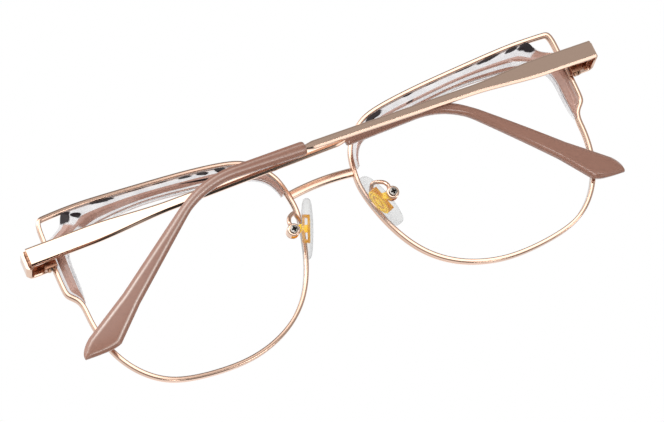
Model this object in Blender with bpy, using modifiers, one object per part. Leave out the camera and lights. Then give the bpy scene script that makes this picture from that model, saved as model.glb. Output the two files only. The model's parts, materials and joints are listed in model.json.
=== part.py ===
"""Cat-eye eyeglasses with metal rims, clear brow inserts and folded temples.

The front faces -Y, +Z is up and +X is the wearer's left. Shapes are worked out in millimetres
about the middle of the front, where the bridge meets the rims, and every piece hangs on the
"front" empty, which puts the lowest point of the rims on z = 0.
"""

import math

import bmesh
import bpy
import numpy as np
from mathutils import Matrix, Vector

MM = 0.001

# Front: the outer edge of one rim, and how the whole front bows back
EYE_WIDTH = 58.7
EYE_HEIGHT = 48.2
EYE_BELOW_BRIDGE = 34.4
RIMS_APART = 15.4
ACROSS_RADIUS = 446.4
UPRIGHT_RADIUS = 367.6
BOW_LEVEL = -5.0
ORIGIN_BACK = 9.4

# Rim wire
WIRE_WIDTH = 1.0
WIRE_DEPTH = 2.0
GROOVE_DEPTH = 0.35
GROOVE_HALF = 0.45
WIRE_CHAMFER = 0.16
WIRE_LINE = 0.12
RIM_STATIONS = 65
RIM_SPLIT = 0.3

# Brow insert
INSERT_FRONT = 1.7
INSERT_BACK = 2.8
INSERT_LENS_BACK = 1.4
INSERT_LENS_LIP = 0.6
INSERT_GROOVE = 0.45
INSERT_SEAT_FRONT = 0.8
INSERT_SEAT_BACK = 1.0
INSERT_FULL_WIDTH = 4.5
INSERT_FIRST_EDGE = 0.38
INSERT_SECOND_EDGE = 0.68
INSERT_EDGE_DROP = 0.2
INSERT_FRONT_BEVEL = 0.25

# Lens
LENS_THICKNESS = 1.8
LENS_BULGE = 1.6
LENS_BEVEL_HALF = 0.3
LENS_IN_GROOVE = 0.3

# Bridge
BRIDGE_HEIGHT = 2.1
BRIDGE_DEPTH = 1.5
BRIDGE_RISE = 0.55
BRIDGE_TOP = 0.0
BRIDGE_CHAMFER = 0.3

# End piece and temple strip
STRIP_THICKNESS = 1.2
STRIP_HEIGHT = 4.4
STRIP_CHAMFER = 0.35
END_REACH = 6.1
FRONT_HALF_WIDTH = RIMS_APART / 2 + EYE_WIDTH + END_REACH
END_CORNER_RADIUS = 1.2
END_FRONT_LEVEL = 2.85
TEMPLE_LEVEL = 3.65
END_REAR_Y = 10.0
BUTT_GAP = 0.12
CUT_THROUGH = 9.0

# Hinge
HINGE_INSET = 1.5
HINGE_BEHIND_BUTT = 0.45
KNUCKLE_RADIUS = 0.8
KNUCKLE_HEIGHT = 1.0
KNUCKLE_GAP = 0.05
LEAF_THICKNESS = 0.8
FRONT_LEAF_LENGTH = 3.2
TEMPLE_LEAF_LENGTH = 3.4
HINGE_PIN_RADIUS = 0.42
HINGE_HEAD_RADIUS = 0.7
HINGE_HEAD_HEIGHT = 0.35

# Rim lock
LOCK_WIDTH = 3.0
LOCK_DEPTH = 2.3
LOCK_HEIGHT = 2.05
LOCK_GAP = 0.3
LOCK_SCREW_RADIUS = 0.55
LOCK_HEAD_RADIUS = 0.95
LOCK_HEAD_HEIGHT = 0.6
LOCK_BLIND_WALL = 0.5

# Temples. The two are folded, and bent behind the ear, by unlike angles, as fitted to a wearer.
TEMPLE_TO_BEND = 102.9
METAL_TO_SLEEVE = 77.0
WIDE_STRIP_LENGTH = 14.0
STRIP_TAPER_LENGTH = 20.0
NARROW_STRIP_HEIGHT = 2.3
METAL_END_HEIGHT = 1.9
SHOULDER_LENGTH = 2.0
TIP_DROP = 46.1
BEND_LENGTH = 17.0
TIP_INWARD = 8.0
TIP_INWARD_POWER = 1.75
CORE_RADIUS = 0.55
CORE_LENGTH = 54.0
CORE_STATIONS = 13
SLEEVE_HEIGHT = 3.2
SLEEVE_THICKNESS = 2.1
NECK_HEIGHT = 2.3
NECK_TO = 109.0
PADDLE_FROM = 133.0
PADDLE_START_HEIGHT = 4.3
PADDLE_HEIGHT = 6.9
PADDLE_THICKNESS = 2.4
TIP_LIP = 0.25
TIP_BEVEL = 0.9
TIP_BEVEL_DEPTH = 0.7
TIP_ROUND = 4.2
TIP_ROUND_DOWN = 1.9
TIP_SLANT_LENGTH = 6.8
LEFT_FOLD = 0.95
RIGHT_FOLD = 4.8
LEFT_TIP_ANGLE = 41.5
RIGHT_TIP_ANGLE = 37.5

# Nose pads
PAD_LENGTH = 14.0
PAD_WIDTH = 7.6
PAD_THICKNESS = 2.8
PAD_FORWARD = 6.1
PAD_PIVOT_X = 12.6
PAD_PIVOT_Z = -10.6
PAD_FROM_PIVOT = 3.15
PAD_BEFORE_PIVOT = 0.2
PAD_BELOW_PIVOT = 0.55
PAD_TOE_IN = 10.0
PAD_SPLAY = 23.4
PAD_RAKE = -12.3
CORE_PLATE_LENGTH = 6.6
CORE_PLATE_WIDTH = 4.0
CORE_PLATE_THICKNESS = 0.6
CORE_PLATE_INSET = 0.55
CORE_BAR_LENGTH = 6.4
CORE_BAR_WIDTH = 1.9
CORE_BAR_THICKNESS = 0.6
CORE_BAR_OUT = 0.4
CORE_BAR_END = 0.7
STEM_HEIGHT = 1.7
STEM_THICKNESS = 1.5
BOX_RADIUS = 1.5
BOX_DEPTH = 2.8
BOX_WALL = 0.55
PAD_SCREW_RADIUS = 0.5
PAD_SCREW_HEAD = 0.95
PAD_SCREW_HEAD_HEIGHT = 0.5
PAD_ARM_RADIUS = 0.5
PAD_ARM_LEVEL = -9.0

# Clearances
SEAT = 0.04
RUNNING = 0.05

# How far apart the stations lie that give a line's direction, and how big the empties show
DIRECTION_STEP = 0.1
EMPTY_SIZE = 5.0

# Outlines in shares of the rim's width and height, from its nose side and its bottom.
# The rim starts at the split behind the end piece and runs up, over the brow and down the nose.
RIM_OUTLINE = (
    (1.000, 0.776), (0.998, 0.890), (0.995, 0.946), (0.984, 0.979), (0.957, 0.989),
    (0.859, 0.998), (0.755, 1.000), (0.550, 0.992), (0.380, 0.981), (0.228, 0.961),
    (0.135, 0.932), (0.077, 0.884), (0.031, 0.813), (0.012, 0.747), (0.003, 0.678),
    (0.000, 0.610), (0.022, 0.465), (0.073, 0.299), (0.145, 0.170), (0.249, 0.073),
    (0.380, 0.015), (0.516, 0.000), (0.676, 0.019), (0.780, 0.064), (0.867, 0.158),
    (0.928, 0.299), (0.951, 0.454), (0.961, 0.544), (0.990, 0.585), (0.999, 0.631),
)
# The insert's lens side, from its tip at the nose to its tip low on the outer side
INSERT_LENS_SIDE = (
    (0.039, 0.705), (0.048, 0.743), (0.073, 0.793), (0.118, 0.830), (0.210, 0.861),
    (0.336, 0.878), (0.482, 0.894), (0.601, 0.896), (0.729, 0.882), (0.799, 0.865),
    (0.860, 0.840), (0.901, 0.809), (0.922, 0.759), (0.927, 0.683), (0.928, 0.606),
    (0.931, 0.558), (0.936, 0.526),
)
# The open sweep where the insert leaves the wire under the cat-eye corner
INSERT_SWEEP = ((0.889, 0.968), (0.901, 0.940), (0.915, 0.913), (0.935, 0.894), (0.964, 0.876))
INSERT_NOSE_TIP = 0.705
INSERT_SWEEP_TOP = 0.880
INSERT_LEG_TOP = 0.857
INSERT_LEG_TIP = 0.530
# How far below the insert's tips the lens's edge takes to the wire's groove
LENS_BELOW_NOSE_TIP = 0.045
LENS_BELOW_LEG_TIP = 0.060
# Where the lens side turns round its corner, as shares along it
INSERT_TURN = (0.66, 0.80)


def clear_scene():
    for item in list(bpy.data.objects):
        bpy.data.objects.remove(item)


def new_collection(name):
    found = bpy.data.collections.new(name)
    bpy.context.scene.collection.children.link(found)
    return found


def new_material(name, colour, roughness, metallic=0.0, alpha=1.0):
    material = bpy.data.materials.new(name)
    material.use_nodes = True
    shader = material.node_tree.nodes["Principled BSDF"]
    shader.inputs["Base Color"].default_value = (*colour, 1.0)
    shader.inputs["Roughness"].default_value = roughness
    shader.inputs["Metallic"].default_value = metallic
    shader.inputs["Alpha"].default_value = alpha
    return material


def new_empty(name, place, parent=None, turn=(0.0, 0.0, 0.0)):
    """An axis or a frame that pieces hang on, at a place in millimetres."""
    empty = bpy.data.objects.new(name, None)
    empty.empty_display_size = EMPTY_SIZE * MM
    empty.location = Vector(place) * MM
    empty.rotation_euler = turn
    empty.parent = parent
    PARTS.objects.link(empty)
    return empty


def finish(name, mesh, material, parent, collection=None, smooth=40.0):
    item = bpy.data.objects.new(name, mesh)
    item.parent = parent
    mesh.materials.append(material)
    mesh.shade_smooth()
    mesh.set_sharp_from_angle(angle=math.radians(smooth))
    (collection or PARTS).objects.link(item)
    return item


def bow(x, z):
    """How far back the front lies at a place on it: a shallow bowl of two radii."""
    return x**2 / (2 * ACROSS_RADIUS) + (z - BOW_LEVEL) ** 2 / (2 * UPRIGHT_RADIUS)


def on_front(outline):
    """Shares of the rim's width and height as places in millimetres across and up."""
    shares = np.array(outline, float)
    across = RIMS_APART / 2 + EYE_WIDTH * shares[:, 0]
    return np.stack([across, EYE_HEIGHT * shares[:, 1] - EYE_BELOW_BRIDGE], axis=1)


def smooth_curve(points, closed=False, steps=24):
    """Many points along the cubic spline through a few, spaced by the root of their distance."""
    points = np.array(points, float)
    if closed:
        points = np.vstack([points, points[:1]])
    gaps = np.linalg.norm(np.diff(points, axis=0), axis=1) ** 0.5
    times = np.concatenate([[0.0], np.cumsum(gaps)])
    count = len(points)
    system = np.zeros((count, count))
    right = np.zeros(points.shape)
    slopes = np.diff(points, axis=0) / gaps[:, None]
    for i in range(1, count - 1):
        system[i, i - 1 : i + 2] = gaps[i], 2 * (gaps[i - 1] + gaps[i]), gaps[i - 1]
        right[i] = 3 * (gaps[i] * slopes[i - 1] + gaps[i - 1] * slopes[i])
    if closed:
        system[0, [0, 1, -2]] = 2 * (gaps[-1] + gaps[0]), gaps[-1], gaps[0]
        right[0] = 3 * (gaps[0] * slopes[-1] + gaps[-1] * slopes[0])
        system[-1, [0, -1]] = 1.0, -1.0
    else:
        system[0, :2] = system[-1, -2:] = 2.0, 1.0
        system[-1, -2:] = 1.0, 2.0
        right[0], right[-1] = 3 * slopes[0], 3 * slopes[-1]
    tangents = np.linalg.solve(system, right)
    share = np.linspace(0.0, 1.0, steps, endpoint=False)[:, None]
    pieces = []
    for i, gap in enumerate(gaps):
        start, end = points[i], points[i + 1]
        pieces.append(
            (1 + 2 * share) * (1 - share) ** 2 * start
            + share * (1 - share) ** 2 * gap * tangents[i]
            + share**2 * (3 - 2 * share) * end
            + share**2 * (share - 1) * gap * tangents[i + 1]
        )
    return np.vstack(pieces + [points[-1:]])


def lengths_along(points):
    steps = np.linalg.norm(np.diff(points, axis=0), axis=1)
    return np.concatenate([[0.0], np.cumsum(steps)])


def resample(points, count, bend_weight=0.0):
    """That many points along a line, closer together where it bends."""
    along = lengths_along(points)
    ahead = np.gradient(points, along, axis=0)
    ahead /= np.linalg.norm(ahead, axis=1)[:, None]
    bend = np.linalg.norm(np.gradient(ahead, along, axis=0), axis=1)
    weight = 1.0 + bend_weight * np.sqrt(bend)
    travel = np.concatenate([[0.0], np.cumsum((weight[1:] + weight[:-1]) / 2 * np.diff(along))])
    wanted = np.linspace(0.0, travel[-1], count)
    return np.stack([np.interp(wanted, travel, column) for column in points.T], axis=1)


def inward(points):
    """The unit normals of a flat line, to its left as it runs."""
    steps = np.diff(points, axis=0)
    steps /= np.linalg.norm(steps, axis=1)[:, None]
    ahead = np.vstack([steps[:1], steps[1:] + steps[:-1], steps[-1:]])
    ahead /= np.linalg.norm(ahead, axis=1)[:, None]
    return np.stack([-ahead[:, 1], ahead[:, 0]], axis=1)


def rim_middle():
    """The stations along the middle of the wire, from one end of the split to the other."""
    edge = smooth_curve(on_front(RIM_OUTLINE), closed=True)
    middle = edge + inward(edge) * WIRE_WIDTH / 2
    middle[[0, -1]] = (middle[0] + middle[-1]) / 2
    along = lengths_along(middle)
    ends = np.array([RIM_SPLIT / 2, along[-1] - RIM_SPLIT / 2])
    kept = middle[(along > ends[0]) & (along < ends[1])]
    caps = np.stack([np.interp(ends, along, column) for column in middle.T], axis=1)
    return resample(np.vstack([caps[:1], kept, caps[1:]]), RIM_STATIONS, bend_weight=3.0)


def loft(name, rings, material, parent, side=1, collection=None, smooth=40.0):
    """A closed solid through rings of as many points each, in millimetres, with flat ends."""
    rings = np.array(rings, float)
    rings[:, :, 0] *= side
    shell = bmesh.new()
    rows = [[shell.verts.new(point * MM) for point in ring] for ring in rings]
    for low, high in zip(rows, rows[1:]):
        for i, corner in enumerate(low):
            shell.faces.new((low[i - 1], corner, high[i], high[i - 1]))
    shell.faces.new(rows[0])
    shell.faces.new(rows[-1])
    bmesh.ops.recalc_face_normals(shell, faces=shell.faces)
    mesh = bpy.data.meshes.new(name)
    shell.to_mesh(mesh)
    shell.free()
    return finish(name, mesh, material, parent, collection, smooth)


def box(name, low, high, material, parent, side=1, collection=None, round_by=0.0):
    """A block between two corners, in millimetres, its edges rounded by a Bevel."""
    low, high = np.array(low, float), np.array(high, float)
    middle, size = (low + high) / 2, high - low
    middle[0] *= side
    shell = bmesh.new()
    place = Matrix.Translation(Vector(middle * MM)) @ Matrix.Diagonal((*(size * MM), 1.0))
    bmesh.ops.create_cube(shell, size=1.0, matrix=place)
    mesh = bpy.data.meshes.new(name)
    shell.to_mesh(mesh)
    shell.free()
    item = finish(name, mesh, material, parent, collection)
    if round_by:
        bevel = item.modifiers.new("rounded edges", "BEVEL")
        bevel.width = round_by * MM
        bevel.segments = 2
        bevel.limit_method = "ANGLE"
    return item


def cylinder(name, middle, radius, height, material, parent, side=1, collection=None,
             along="Z", sides=18):
    """A round bar about a middle point, in millimetres, along one axis."""
    turn = {"Z": Matrix(), "Y": Matrix.Rotation(math.pi / 2, 4, "X"),
            "X": Matrix.Rotation(math.pi / 2, 4, "Y")}[along]
    place = Matrix.Translation(Vector((middle[0] * side, *middle[1:])) * MM) @ turn
    shell = bmesh.new()
    bmesh.ops.create_cone(shell, cap_ends=True, segments=sides, radius1=radius * MM,
                          radius2=radius * MM, depth=height * MM, matrix=place)
    mesh = bpy.data.meshes.new(name)
    shell.to_mesh(mesh)
    shell.free()
    return finish(name, mesh, material, parent, collection)


def combine(item, other, operation):
    """Cuts, joins or trims a piece with a hidden helper."""
    change = item.modifiers.new(other.name, "BOOLEAN")
    change.operation = operation
    change.object = other
    other.hide_render = True
    other.display_type = "WIRE"


def turned_screw(name, shank, length, head, head_height, material, parent, slot=0.3):
    """A screw turned about its own Z axis, head up, with a driver slot; its underside is z = 0."""
    edge = 0.12 * head
    profile = [(0.0, head_height), (head - edge, head_height), (head, head_height - edge),
               (head, 0.0), (shank, 0.0), (shank, edge - length), (shank - edge, -length),
               (0.0, -length)]
    mesh = bpy.data.meshes.new(name)
    points = [(x * MM, 0.0, z * MM) for x, z in profile]
    mesh.from_pydata(points, [(i, i + 1) for i in range(len(points) - 1)], [])
    item = finish(name, mesh, material, parent)
    turn = item.modifiers.new("turned", "SCREW")
    turn.steps = turn.render_steps = 12
    turn.use_merge_vertices = True
    turn.merge_threshold = 0.000001
    deep = head_height * 0.45
    cutter = box(f"{name}_slot", (-head * 1.2, -slot / 2, head_height - deep),
                 (head * 1.2, slot / 2, head_height + deep), material, parent,
                 collection=CUTTERS)
    combine(item, cutter, "DIFFERENCE")
    return item, cutter


def curve_object(name, points, parent, cyclic=False):
    curve = bpy.data.curves.new(name, "CURVE")
    curve.dimensions = "3D"
    curve.use_fill_caps = True
    line = curve.splines.new("POLY")
    line.points.add(len(points) - 1)
    for target, point in zip(line.points, points):
        target.co = (*(np.array(point) * MM), 1.0)
    line.use_cyclic_u = cyclic
    item = bpy.data.objects.new(name, curve)
    item.parent = parent
    return item


def wire_profile():
    """The rolled rim wire's section: across (outward +) and deep (back +), with its lens groove
    inside and a fine engraved line outside."""
    wide, deep = WIRE_WIDTH / 2, WIRE_DEPTH / 2
    cut = WIRE_CHAMFER
    line = WIRE_LINE
    return [(-wide, -deep + cut), (-wide, -GROOVE_HALF), (GROOVE_DEPTH - wide, 0.0),
            (-wide, GROOVE_HALF), (-wide, deep - cut), (cut - wide, deep), (wide - cut, deep),
            (wide, deep - cut), (wide, line * 3), (wide - line, line * 2), (wide, line),
            (wide, cut - deep), (wide - cut, -deep), (cut - wide, -deep)]


def make_rim(side, name, profile_object):
    """The wire is its profile carried along the rim's middle line, drawn lying in its own XY plane
    and stood up, so that the profile's depth stays upright to that plane."""
    middle = rim_middle()
    if side < 0:
        middle = middle[::-1]
    flat = np.stack([side * middle[:, 0], middle[:, 1], -bow(middle[:, 0], middle[:, 1])], axis=1)
    item = curve_object(name, flat, FRONT)
    item.data.twist_mode = "Z_UP"
    item.data.bevel_mode = "OBJECT"
    item.data.bevel_object = profile_object
    item.data.materials.append(ROSE_GOLD)
    item.rotation_euler = (math.pi / 2, 0.0, 0.0)
    PARTS.objects.link(item)
    return item


def make_wire_profile():
    item = curve_object("rim_wire_profile", [(x, y, 0.0) for x, y in wire_profile()], None, True)
    item.data.dimensions = "2D"
    item.data.fill_mode = "NONE"
    item.hide_render = True
    item.display_type = "WIRE"
    CUTTERS.objects.link(item)
    return item


def share_up(points):
    return (points[:, 1] + EYE_BELOW_BRIDGE) / EYE_HEIGHT


def insert_edges():
    """The insert's wire side and lens side at each of its stations, from nose tip to leg tip, and
    how much of its seating ridge each has: none in the open sweep."""
    middle = rim_middle()
    seat = middle + inward(middle) * (WIRE_WIDTH / 2 + 2 * SEAT)
    shares = share_up(seat)
    across = (seat[:, 0] - RIMS_APART / 2) / EYE_WIDTH
    top = int(np.argmax(shares))
    nose = [i for i in range(top, len(seat)) if shares[i] > INSERT_NOSE_TIP and across[i] < 0.7]
    brow = [i for i in range(len(seat)) if 0.7 <= across[i] < INSERT_SWEEP_TOP and shares[i] > 0.9]
    run = seat[sorted(nose + brow)[::-1]]
    sweep = resample(smooth_curve(np.vstack([run[-1:], on_front(INSERT_SWEEP)])), 9)[1:]
    half = len(seat) // 2
    low = [i for i in range(half, len(seat)) if shares[i] > INSERT_LEG_TIP and across[i] > 0.9]
    high = [i for i in range(half) if shares[i] < INSERT_LEG_TOP and across[i] > 0.9]
    leg = np.vstack([seat[high][::-1], seat[low][::-1]])
    wire_side = np.vstack([run, sweep, leg])
    ridge = np.concatenate([np.ones(len(run)), np.zeros(len(sweep)), np.zeros(len(leg))])
    ridge[[0, 1, len(run) - 2, len(run) - 1]] = 0.0, 0.5, 0.5, 0.0
    line = smooth_curve(on_front(INSERT_LENS_SIDE))
    along = lengths_along(line) / lengths_along(line)[-1]
    wanted = np.concatenate([
        lengths_along(run) / lengths_along(run)[-1] * INSERT_TURN[0],
        np.interp(np.arange(1, len(sweep) + 1), (0, len(sweep)), INSERT_TURN),
        INSERT_TURN[1] + (1 - INSERT_TURN[1])
        * (1 + np.arange(len(leg))) / len(leg),
    ])
    lens_side = np.stack([np.interp(wanted, along, column) for column in line.T], axis=1)
    return wire_side, lens_side, ridge


def insert_ring(outer, inner, ridge):
    """One section of the insert between its wire side and its lens side: a flat front, a bevel
    that rises from the wire, the widest face at the back and a bevel down to the lens groove."""
    wide = max(np.linalg.norm(inner - outer), 0.05)
    toward = (inner - outer) / wide
    full = min(1.0, 0.25 + wide / INSERT_FULL_WIDTH)
    front = INSERT_SEAT_FRONT + (INSERT_FRONT - INSERT_SEAT_FRONT) * full
    back = INSERT_SEAT_BACK + (INSERT_BACK - INSERT_SEAT_BACK) * full
    lens_back = INSERT_LENS_LIP + (INSERT_LENS_BACK - INSERT_LENS_LIP) * full
    groove = min(INSERT_GROOVE, 0.3 * wide)
    bevel = INSERT_FRONT_BEVEL * full
    rise = ridge * (GROOVE_DEPTH - SEAT)
    section = (
        (0.0, -INSERT_SEAT_FRONT), (0.0, -GROOVE_HALF + SEAT), (-rise, 0.0),
        (0.0, GROOVE_HALF - SEAT), (0.0, INSERT_SEAT_BACK),
        (INSERT_FIRST_EDGE * wide, back - INSERT_EDGE_DROP * full), (INSERT_SECOND_EDGE * wide, back),
        (wide, lens_back), (wide, GROOVE_HALF), (wide - groove, 0.0), (wide, -GROOVE_HALF),
        (wide, bevel - front), (wide - bevel, -front), (bevel, -front),
    )
    flat = outer + toward * np.array([[across] for across, _ in section])
    deep = bow(flat[:, 0], flat[:, 1]) + np.array([depth for _, depth in section])
    return np.stack([flat[:, 0], deep, flat[:, 1]], axis=1)


def make_insert(side, name):
    rings = [insert_ring(*station) for station in zip(*insert_edges())]
    return loft(name, rings, BROW_ACETATE, FRONT, side)


def lens_edges():
    """The line of the lens's bevel tip, in the insert's groove and then in the wire's, and the
    line of its body, which just clears both."""
    wire_side, lens_side, _ = insert_edges()
    wide = np.linalg.norm(wire_side - lens_side, axis=1)
    toward = (wire_side - lens_side) / wide[:, None]
    reach = np.minimum(LENS_IN_GROOVE, np.minimum(INSERT_GROOVE, 0.3 * wide) - SEAT)
    seated = slice(2, -1, 2)
    tip_in_insert = (lens_side + toward * reach[:, None])[seated]
    body_in_insert = (lens_side - toward * 2 * SEAT)[seated]
    middle = rim_middle()
    normals = inward(middle)
    half = len(middle) // 2
    shares = share_up(middle)
    across = (middle[:, 0] - RIMS_APART / 2) / EYE_WIDTH
    first, last = INSERT_NOSE_TIP - LENS_BELOW_NOSE_TIP, INSERT_LEG_TIP - LENS_BELOW_LEG_TIP
    bare = [i for i in range(half // 2, len(middle))
            if (across[i] < 0.5 and shares[i] < first) or (across[i] >= 0.5 and shares[i] < last)]
    bare = bare[::2]
    tip_in_wire = (middle + normals * (WIRE_WIDTH / 2 - LENS_IN_GROOVE))[bare]
    body_in_wire = (middle + normals * (WIRE_WIDTH / 2 + 2 * SEAT))[bare]
    return (np.vstack([tip_in_insert, tip_in_wire[::-1]]),
            np.vstack([body_in_insert, body_in_wire[::-1]]))


def make_lens(side, name):
    """A curved disc in rings about its middle, with a ridge all round its edge."""
    tip, body = lens_edges()
    middle = body.mean(axis=0)
    half = LENS_THICKNESS / 2
    rings = []
    for share, depth in ((0.03, -half), (0.4, -half), (0.75, -half), (1.0, -half)):
        rings.append((middle + (body - middle) * share, share, depth))
    rings.append((body, 1.0, -LENS_BEVEL_HALF))
    rings.append((tip, 1.0, 0.0))
    rings.append((body, 1.0, LENS_BEVEL_HALF))
    for share, depth in ((1.0, half), (0.75, half), (0.4, half), (0.03, half)):
        rings.append((middle + (body - middle) * share, share, depth))
    solid = []
    for flat, share, depth in rings:
        deep = bow(flat[:, 0], flat[:, 1]) + depth - LENS_BULGE * (1 - share**2)
        solid.append(np.stack([flat[:, 0], deep, flat[:, 1]], axis=1))
    return loft(name, solid, LENS_GLASS, FRONT, side)


def nose_edge(level):
    """How far from the middle the wire's outer edge lies at a level beside the nose."""
    middle = rim_middle()
    edge = middle - inward(middle) * WIRE_WIDTH / 2
    nose = edge[edge[:, 0] < RIMS_APART / 2 + EYE_WIDTH * 0.3]
    order = np.argsort(nose[:, 1])
    return float(np.interp(level, nose[order, 1], nose[order, 0]))


def make_bridge():
    """A flat bar that arches a little, its ends shaped to the two wires."""
    rings = []
    for share in np.linspace(-1.0, 1.0, 13):
        rise = BRIDGE_RISE * (1 - share**2)
        ring = []
        half, cut = BRIDGE_DEPTH / 2, BRIDGE_CHAMFER
        low, high = BRIDGE_TOP - BRIDGE_HEIGHT, BRIDGE_TOP
        for deep, level in ((-half, low + cut), (-half, high - cut), (cut - half, high),
                            (half - cut, high), (half, high - cut), (half, low + cut),
                            (half - cut, low), (cut - half, low)):
            reach = nose_edge(level) - 2 * SEAT
            ring.append((share * reach, deep + bow(reach, level), level + rise))
        rings.append(ring)
    return loft("bridge", rings, ROSE_GOLD, FRONT)


def strip_ring(place, out, up, thickness, height, chamfer):
    """A flat strip's section: thickness inward from its outer face and height about its middle,
    with chamfered edges on the outer side."""
    half = height / 2
    small = 0.4 * chamfer
    section = ((0.0, half - chamfer), (-chamfer, half), (small - thickness, half),
               (-thickness, half - small), (-thickness, small - half), (small - thickness, -half),
               (-chamfer, -half), (0.0, chamfer - half))
    return [place + out * across + up * level for across, level in section]


def wire_back(level):
    """The y of the wire's back face at its outer side, at a level."""
    return bow(RIMS_APART / 2 + EYE_WIDTH - WIRE_WIDTH / 2, level) + WIRE_DEPTH / 2


def make_end_piece(side, name):
    """A strip bent to an L: from the wire's outer edge, round the corner and back to the joint."""
    start = RIMS_APART / 2 + EYE_WIDTH + SEAT
    front_y = wire_back(END_FRONT_LEVEL) - WIRE_DEPTH / 2 - STRIP_THICKNESS / 2
    corner = (FRONT_HALF_WIDTH - END_CORNER_RADIUS - STRIP_THICKNESS / 2,
              front_y + END_CORNER_RADIUS + STRIP_THICKNESS / 2)
    radius = END_CORNER_RADIUS + STRIP_THICKNESS / 2
    turns = np.radians(np.linspace(-90.0, 0.0, 7))
    path = [((start, front_y), (0.0, -1.0))]
    for turn in turns:
        out = (math.cos(turn), math.sin(turn))
        path.append(((corner[0] + radius * out[0], corner[1] + radius * out[1]), out))
    path.append(((FRONT_HALF_WIDTH, END_REAR_Y), (1.0, 0.0)))
    rings = []
    up = np.array([0.0, 0.0, 1.0])
    for (x, y), out in path:
        climb = (y - front_y) / (END_REAR_Y - front_y)
        level = END_FRONT_LEVEL + (TEMPLE_LEVEL - END_FRONT_LEVEL) * climb
        rings.append(strip_ring(np.array([x, y, level]), np.array([*out, 0.0]), up,
                                STRIP_THICKNESS, STRIP_HEIGHT, STRIP_CHAMFER))
    item = loft(name, rings, ROSE_GOLD, FRONT, side)
    relief = cylinder(f"{name}_knuckle_relief", (*hinge_axis(), TEMPLE_LEVEL),
                      KNUCKLE_RADIUS + 2 * RUNNING, CUT_THROUGH, ROSE_GOLD, FRONT, side, CUTTERS)
    combine(item, relief, "DIFFERENCE")
    return item


def hinge_axis():
    return FRONT_HALF_WIDTH - HINGE_INSET, END_REAR_Y + HINGE_BEHIND_BUTT


def knuckle_levels():
    """The middles of the lower, middle and upper knuckles, about the hinge's middle."""
    step = KNUCKLE_HEIGHT + KNUCKLE_GAP
    return -step, 0.0, step


def make_knuckles(item, name, levels, neck_to, parent, side):
    """Joins knuckles and their necks to a leaf, then bores them for the screw. The leaf's frame
    has the hinge axis at its origin, the strip's length along -Y or +Y and its outside at +X."""
    face = HINGE_INSET - STRIP_THICKNESS - SEAT
    for i, level in enumerate(levels):
        low, high = level - KNUCKLE_HEIGHT / 2, level + KNUCKLE_HEIGHT / 2
        barrel = cylinder(f"{name}_knuckle_{i}", (0.0, 0.0, level), KNUCKLE_RADIUS,
                          KNUCKLE_HEIGHT, ROSE_GOLD, parent, side, CUTTERS)
        neck = box(f"{name}_neck_{i}", (face - LEAF_THICKNESS, min(0.0, neck_to), low),
                   (face, max(0.0, neck_to), high), ROSE_GOLD, parent, side, CUTTERS)
        combine(item, barrel, "UNION")
        combine(item, neck, "UNION")
    bore = cylinder(f"{name}_bore", (0.0, 0.0, 0.0), HINGE_PIN_RADIUS + RUNNING,
                    4 * KNUCKLE_HEIGHT, ROSE_GOLD, parent, side, CUTTERS, sides=16)
    combine(item, bore, "DIFFERENCE")


def make_front_hinge(side, name, axis):
    """The leaf on the end piece's inner side, with the lower and upper knuckles."""
    face = HINGE_INSET - STRIP_THICKNESS - SEAT
    tall = 1.5 * KNUCKLE_HEIGHT + KNUCKLE_GAP
    near = -(KNUCKLE_RADIUS + 2 * RUNNING)
    item = box(name, (face - LEAF_THICKNESS, near - FRONT_LEAF_LENGTH, -tall),
               (face, near, tall), ROSE_GOLD, axis, side)
    lower, _, upper = knuckle_levels()
    make_knuckles(item, name, (lower, upper), near - 0.2, axis, side)
    return item


def make_temple_hinge(side, name, swing):
    """The leaf on the temple's inner side, with the middle knuckle."""
    face = HINGE_INSET - STRIP_THICKNESS - SEAT
    tall = 1.5 * KNUCKLE_HEIGHT + KNUCKLE_GAP
    near = KNUCKLE_RADIUS + 3 * RUNNING
    item = box(name, (face - LEAF_THICKNESS, near, -tall), (face, near + TEMPLE_LEAF_LENGTH, tall),
               ROSE_GOLD, swing, side)
    make_knuckles(item, name, knuckle_levels()[1:2], near + 0.2, swing, side)
    return item


def make_hinge_screw(side, name, axis):
    top = 1.5 * KNUCKLE_HEIGHT + KNUCKLE_GAP + SEAT
    item, cutter = turned_screw(name, HINGE_PIN_RADIUS, 2 * top, HINGE_HEAD_RADIUS,
                                HINGE_HEAD_HEIGHT, STEEL, axis)
    for each in (item, cutter):
        each.location = (0.0, 0.0, top * MM)
    return item


def lock_place():
    """The middle of the rim lock across and deep, and the level of its split."""
    across = RIMS_APART / 2 + EYE_WIDTH - WIRE_WIDTH + SEAT + LOCK_WIDTH / 2
    return across, wire_back(END_FRONT_LEVEL) + 2 * SEAT + LOCK_DEPTH / 2, END_FRONT_LEVEL


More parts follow.
